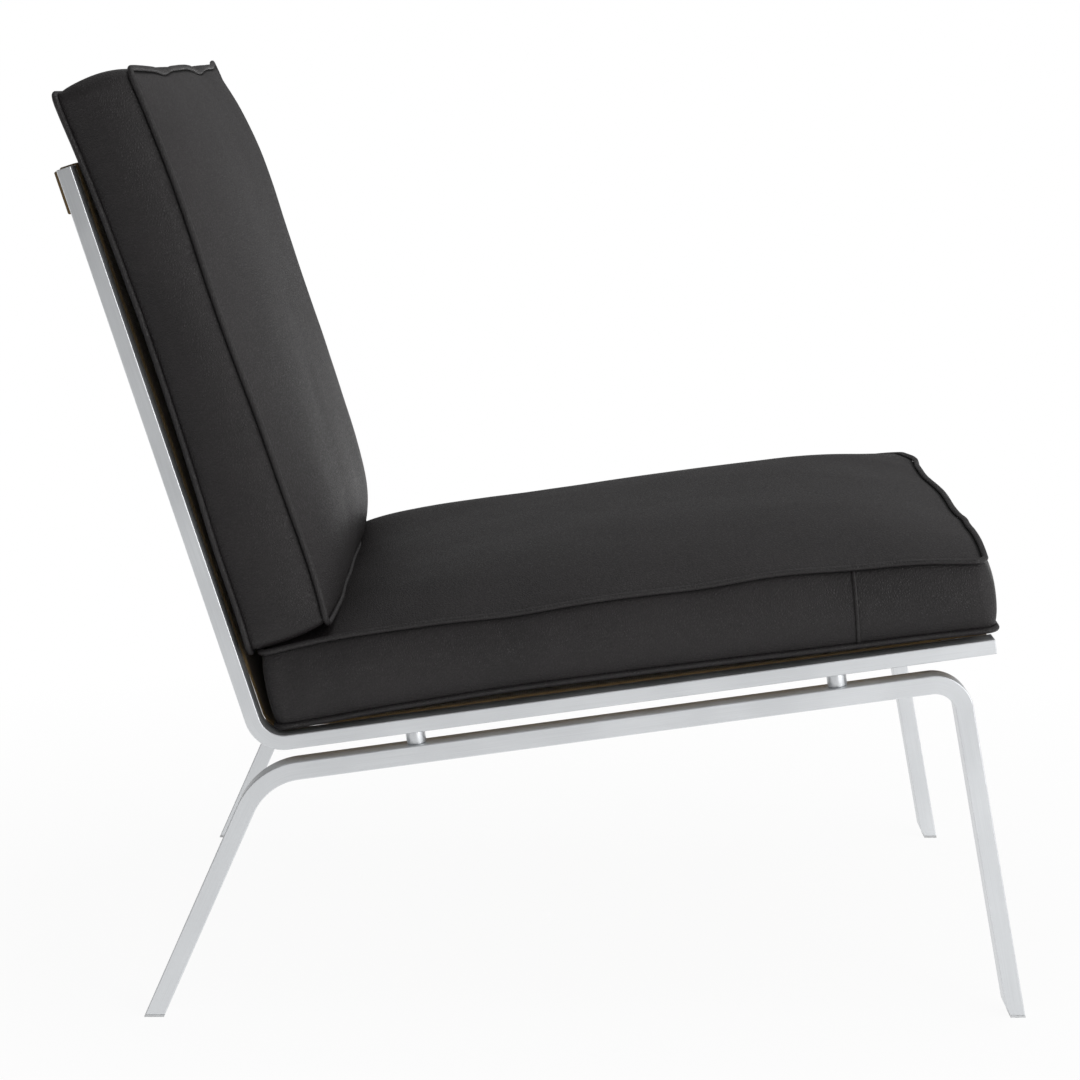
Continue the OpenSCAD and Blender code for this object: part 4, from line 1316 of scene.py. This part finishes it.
# %% [markdown]
# ### Joints in the boxing
# The boxing strip is longer than a hide allows, so it is joined on each side of the seat, a hand's
# width behind the front corner. The joint is a narrow welt of turned leather. It is laid on the
# filled skin, which is found by casting rays at it from the side.

# %% Welts on the sides of the seat
WELT_TOP_Y, WELT_LOW_Y, WELT_HALF_W, WELT_RISE, WELT_STEPS = -0.187, -0.184, 0.0019, 0.0021, 26
RAY_START, RAY_REACH = 0.03, 0.06
seat_surface = BVHTree.FromObject(seat_cover, bpy.context.evaluated_depsgraph_get())


def welt(name, sign):
    """A raised joint down one side of the seat's boxing."""
    path = []
    for t in np.linspace(0.03, 0.97, WELT_STEPS):
        y, x_rim = WELT_TOP_Y + (WELT_LOW_Y - WELT_TOP_Y) * t, sign * (HALF_W - PIPING_R)
        z = seat.seam_point(x_rim, y, True) * (1 - t) + seat.seam_point(x_rim, y, False) * t
        start = seat.in_room(np.array([sign * (HALF_W + RAY_START), y, z]))
        hit = seat_surface.ray_cast(Vector(start), Vector((-sign, 0, 0)), RAY_REACH)[0]
        if hit is not None:
            path.append(np.array(hit))
    way = (path[-1] - path[0]) / np.linalg.norm(path[-1] - path[0])
    out = np.array([sign, 0, 0])
    side = np.cross(way, out)
    rings = [[p + WELT_HALF_W * a * side + WELT_RISE * b * out for a, b in around(8)] for p in path]
    put(skinned(name, rings), piping_leather, "black_leather", seat.body)
    print(name, "found the skin at", len(path), "of", WELT_STEPS, "places")


for side, sign in SIGNS.items():
    welt(f"seat_{side}_welt", sign)

# %% [markdown]
# ### Foam and zips
# Each cover is closed round a foam core, and opens with a zip so that the foam can be taken out.
# They hardly show, but they are there when a cushion is lifted. A zip is a woven tape with two rows
# of interlocking teeth and a slider with a pull.

# %% Foam cores
def foam_cells(finish):
    return finish.node("ShaderNodeTexVoronoi", {"feature": "F1"},
                       {"Vector": finish.place(), "Scale": 700.0})


FOAM_DEPTH, FOAM_PUFF = 0.0075, 0.0005
cut_foam = plain_finish("cushion_foam", (0.62, 0.55, 0.38), (0.78, 0.72, 0.55), 0.9, 0.08, 0.0005,
                        foam_cells)
for c in (seat, back):
    points, faces, _ = cushion_skin(c, FOAM_DEPTH, FOAM_PUFF)
    core = make_piece(c.name + "_foam_core", c.in_room(points), faces)
    put(core, cut_foam, "foam", c.body, c.name + "_foam")
print("foam cores: 2, each", FOAM_DEPTH, "m inside its cover")

# %% Zip finishes
zip_cloth = plain_finish(
    "zip_tape", (0.012, 0.012, 0.012), (0.030, 0.030, 0.030), 0.75, 0.15, 0.0002,
    lambda f: f.noise(f.stretched(f.metres(), (1500.0, 400.0, 1.0)), 1.0))
zip_paint = plain_finish("zip_paint", (0.010, 0.010, 0.010), (0.022, 0.022, 0.022), 0.34, 0.12,
                         0.00005, lambda f: f.noise(f.place(), 900.0))
print("finishes of the zips:", zip_cloth.name, "and", zip_paint.name)

# %% Two zips
ZIP_HALF_L, ZIP_HALF_W, ZIP_T, TOOTH_PITCH = 0.220, 0.007, 0.0008, 0.0025
SLIDER_L, PULL_L = 0.014, 0.020


class ZipSide:
    """The flat side with the zip: x along it, z up it and o out of it."""

    def __init__(self, c):
        z = sum(c.seam_point(0.0, c.zip_side * c.half_l, upper) for upper in (True, False)) / 2
        self.origin = c.in_room(np.array([0, c.zip_side * (c.half_l - PIPING_R + 0.0003), z]))
        self.up, self.out = c.z_way, c.zip_side * c.y_way

    def at(self, x, z, o):
        return self.origin + x * ACROSS_CHAIR + z * self.up + o * self.out


def zip_tape_rings(face):
    """The woven tape, a little thicker in the middle where the teeth sit."""
    section = ((-ZIP_HALF_W, 0), (ZIP_HALF_W, 0), (ZIP_HALF_W, 0.0005), (0.0027, ZIP_T),
               (-0.0027, ZIP_T), (-ZIP_HALF_W, 0.0005))
    return [[face.at(x, z, o) for z, o in section]
            for x in np.linspace(-ZIP_HALF_L, ZIP_HALF_L, 90)]


def zip_tooth_rings(face, k):
    """One tooth. The teeth of the two rows reach past the middle from either side in turn."""
    x, lean = -ZIP_HALF_L + (k + 1) * TOOTH_PITCH, 0.0006 if k % 2 else -0.0006
    return [[face.at(x + 0.0008 * a, z, ZIP_T + 0.00015 + 0.00045 * b) for a, b in around(6)]
            for z in (lean - 0.0019, lean - 0.0012, lean + 0.0012, lean + 0.0019)]


def slider_rings(face, x0, low):
    """The slider's body, from its base to its top."""
    half = [(0, 0.0030), (0.003, 0.0042), (0.010, 0.0045), (0.0135, 0.0032)]
    plan = half + [(SLIDER_L, 0)] + [(x, -z) for x, z in half[::-1]]
    return [[face.at(x0 + x, z * share, o) for x, z in plan]
            for share, o in ((0.9, low), (1.0, low + 0.0002), (1.0, low + 0.0005),
                             (0.85, low + 0.0006))]


def pull_rings(face, x0, low):
    """The flat pull, which lies back along the teeth."""
    rings = []
    for far in np.linspace(0.0005, PULL_L, 12):
        wide = 0.0022 * math.sin(math.pi * min(1, far / 0.006) / 2)
        rings.append([face.at(x0 + 0.004 - far, wide * a, low + 0.0008 + 0.00028 * b)
                      for a, b in around(8)])
    return rings


for c in (seat, back):
    face, x0, low = ZipSide(c), ZIP_HALF_L - SLIDER_L, ZIP_T + 0.0005
    teeth = [zip_tooth_rings(face, k) for k in range(int(2 * ZIP_HALF_L / TOOTH_PITCH) - 2)]
    put(skinned(c.name + "_zip_tape", zip_tape_rings(face)), zip_cloth, "zip_tape", c.body,
        c.name + "_zip")
    put(many_skins(c.name + "_zip_teeth", teeth), zip_cloth, "zip_tape", c.body)
    put(skinned(c.name + "_zip_slider_body", slider_rings(face, x0, low)), zip_paint,
        "zip_metal", c.body, c.name + "_zip_slider")
    put(skinned(c.name + "_zip_pull", pull_rings(face, x0, low)), zip_paint, "zip_metal", c.body)
    print(c.name, "zip teeth:", len(teeth))

# %% [markdown]
# ## Studio
# The photograph was taken in a bright white studio. Pale surroundings on all sides give the steel
# its even white look, and the leather its soft sheen. A metal bar shows what lies behind the
# camera, and there the room is dim. So in reflections the floor fades on the camera's side, and
# only the front of the dome is bright. That makes the flat of a bar grey and its round edge white.
# The floor keeps a faint shadow near the chair.

# %% Floor that keeps a faint shadow of the chair
FAR_FLOOR, DIM_FROM_X, DIM_TO_X = 0.11, -2.1, -3.9
FLOOR_GREY, SHADOW_R, PLAIN_R, LEAST_GLOW = 0.86, 0.45, 1.2, 0.94


def mix_shaders(finish, share, first, second):
    """Two shaders mixed by a share, or by a kind of ray."""
    return finish.node("ShaderNodeMixShader", None, {0: share, 1: first, 2: second})


def plain_glow(finish, kind, level):
    """A shader that gives off one even grey."""
    return finish.node(kind, None, {"Color": (level, level, level, 1), "Strength": 1.0})


def ray_kinds(finish):
    """Whether a ray comes by way of a shiny or of a matt surface."""
    return (finish.node("ShaderNodeLightPath", out=f"Is {kind} Ray")
            for kind in ("Glossy", "Diffuse"))


floor = Finish("studio_floor")
spot = floor.node("ShaderNodeNewGeometry", out="Position")
spot_x, spot_y = (floor.node("ShaderNodeSeparateXYZ", None, {0: spot}, out=i) for i in range(2))
away = (spot_x * spot_x + spot_y * spot_y) ** 0.5
glossy, diffuse = ray_kinds(floor)
white, dark = (plain_glow(floor, "ShaderNodeEmission", level) for level in (1.0, FAR_FLOOR))
glow = mix_shaders(floor, floor.between(spot_x, DIM_FROM_X, DIM_TO_X) * glossy, white, dark)
matt = floor.node("ShaderNodeBsdfDiffuse", None,
                  {"Color": (FLOOR_GREY, FLOOR_GREY, FLOOR_GREY, 1)})
glow_share = floor.between(away, SHADOW_R, PLAIN_R, LEAST_GLOW, 1.0)
share = floor.node("ShaderNodeMath", {"operation": "MAXIMUM"}, {0: glow_share, 1: glossy})
floor.node_out(mix_shaders(floor, share * (1 - diffuse), matt, glow))
floor_rings = [[(r * a, r * b, 0) for a, b in around(64)]
               for r in (0.001, 0.5, 1.0, 2.0, 4.0, 8.0, 16.0)]
studio_floor = skinned("studio_floor", floor_rings, capped=False)
studio_floor.data.shade_flat()
studio_floor.data.materials.append(floor.material)
print("floor:", floor_rings[-1][0][0], "m each way")

# %% World: the bright dome, and the dimmer one that shiny surfaces mirror
FRONT_SHINE, DIM_SHINE, DOME_FILL, DIM_UP_TO_Y, BRIGHT_FROM_Y = 0.72, 0.25, 0.32, -0.35, -0.80
scene.world = bpy.data.worlds.new("studio")
dome = Finish("studio", scene.world)
glossy, diffuse = ray_kinds(dome)
white, fill, shine, dim = (plain_glow(dome, "ShaderNodeBackground", level)
                           for level in (1.0, DOME_FILL, FRONT_SHINE, DIM_SHINE))
way = dome.node("ShaderNodeTexCoord", out="Generated")
way_y = dome.node("ShaderNodeSeparateXYZ", None, {0: way}, out=1)
mirrored = mix_shaders(dome, dome.between(way_y, DIM_UP_TO_Y, BRIGHT_FROM_Y), dim, shine)
seen = mix_shaders(dome, diffuse, white, fill)
dome.node_out(mix_shaders(dome, glossy, seen, mirrored), "ShaderNodeOutputWorld")
print("world:", scene.world.name)


# %% Lamps
def soft_lamp(name, place, target, size, power):
    """A flat lamp that faces a target and isn't seen itself."""
    lamp = bpy.data.lights.new(name, "AREA")
    lamp.shape, lamp.size, lamp.size_y, lamp.energy = "RECTANGLE", size[0], size[1], power
    holder = bpy.data.objects.new(name, lamp)
    holder.location = place
    holder.rotation_euler = (Vector(target) - Vector(place)).to_track_quat("-Z", "Y").to_euler()
    holder.visible_camera = False
    scene.collection.objects.link(holder)
    print(name, "lamp:", power, "W")


# One from above for the panels, one from the front for the front seams, and a narrower one whose
# sheen lies along the side of the seat and on the leg frame.
soft_lamp("overhead", (0.0, -0.6, 2.9), (0, 0, 0.3), (2.6, 2.6), 25.0)
soft_lamp("front", (-1.4, -3.0, 1.1), (0, 0, 0.4), (2.2, 1.8), 15.0)
soft_lamp("side strip", (-2.9, -2.0, 1.0), (0, 0, 0.4), (1.3, 1.8), 36.0)

# %% [markdown]
# ## Camera
# The camera stands 2.7 m away, level with the top of the back, and looks down by nine degrees. Its
# place and lens were worked out from the chair's straight lines in the photograph.

# %% Camera
CAMERA_PLACE = (-2.6762, 0.0, 0.7823)
CAMERA_PITCH, CAMERA_YAW = math.radians(9.182), math.radians(0.169)
camera = bpy.data.cameras.new("camera")
camera.lens, camera.sensor_width, camera.sensor_fit = 100.0, 36.0, "HORIZONTAL"
camera.clip_end = 60.0
holder = bpy.data.objects.new("camera", camera)
holder.location = CAMERA_PLACE
look = Vector((math.cos(CAMERA_PITCH) * math.cos(CAMERA_YAW),
               math.cos(CAMERA_PITCH) * math.sin(CAMERA_YAW), -math.sin(CAMERA_PITCH)))
holder.rotation_euler = look.to_track_quat("-Z", "Y").to_euler()
scene.collection.objects.link(holder)
scene.camera = holder
scene.view_settings.view_transform = "Standard"
print("camera at", CAMERA_PLACE, "with a lens of", camera.lens, "mm")
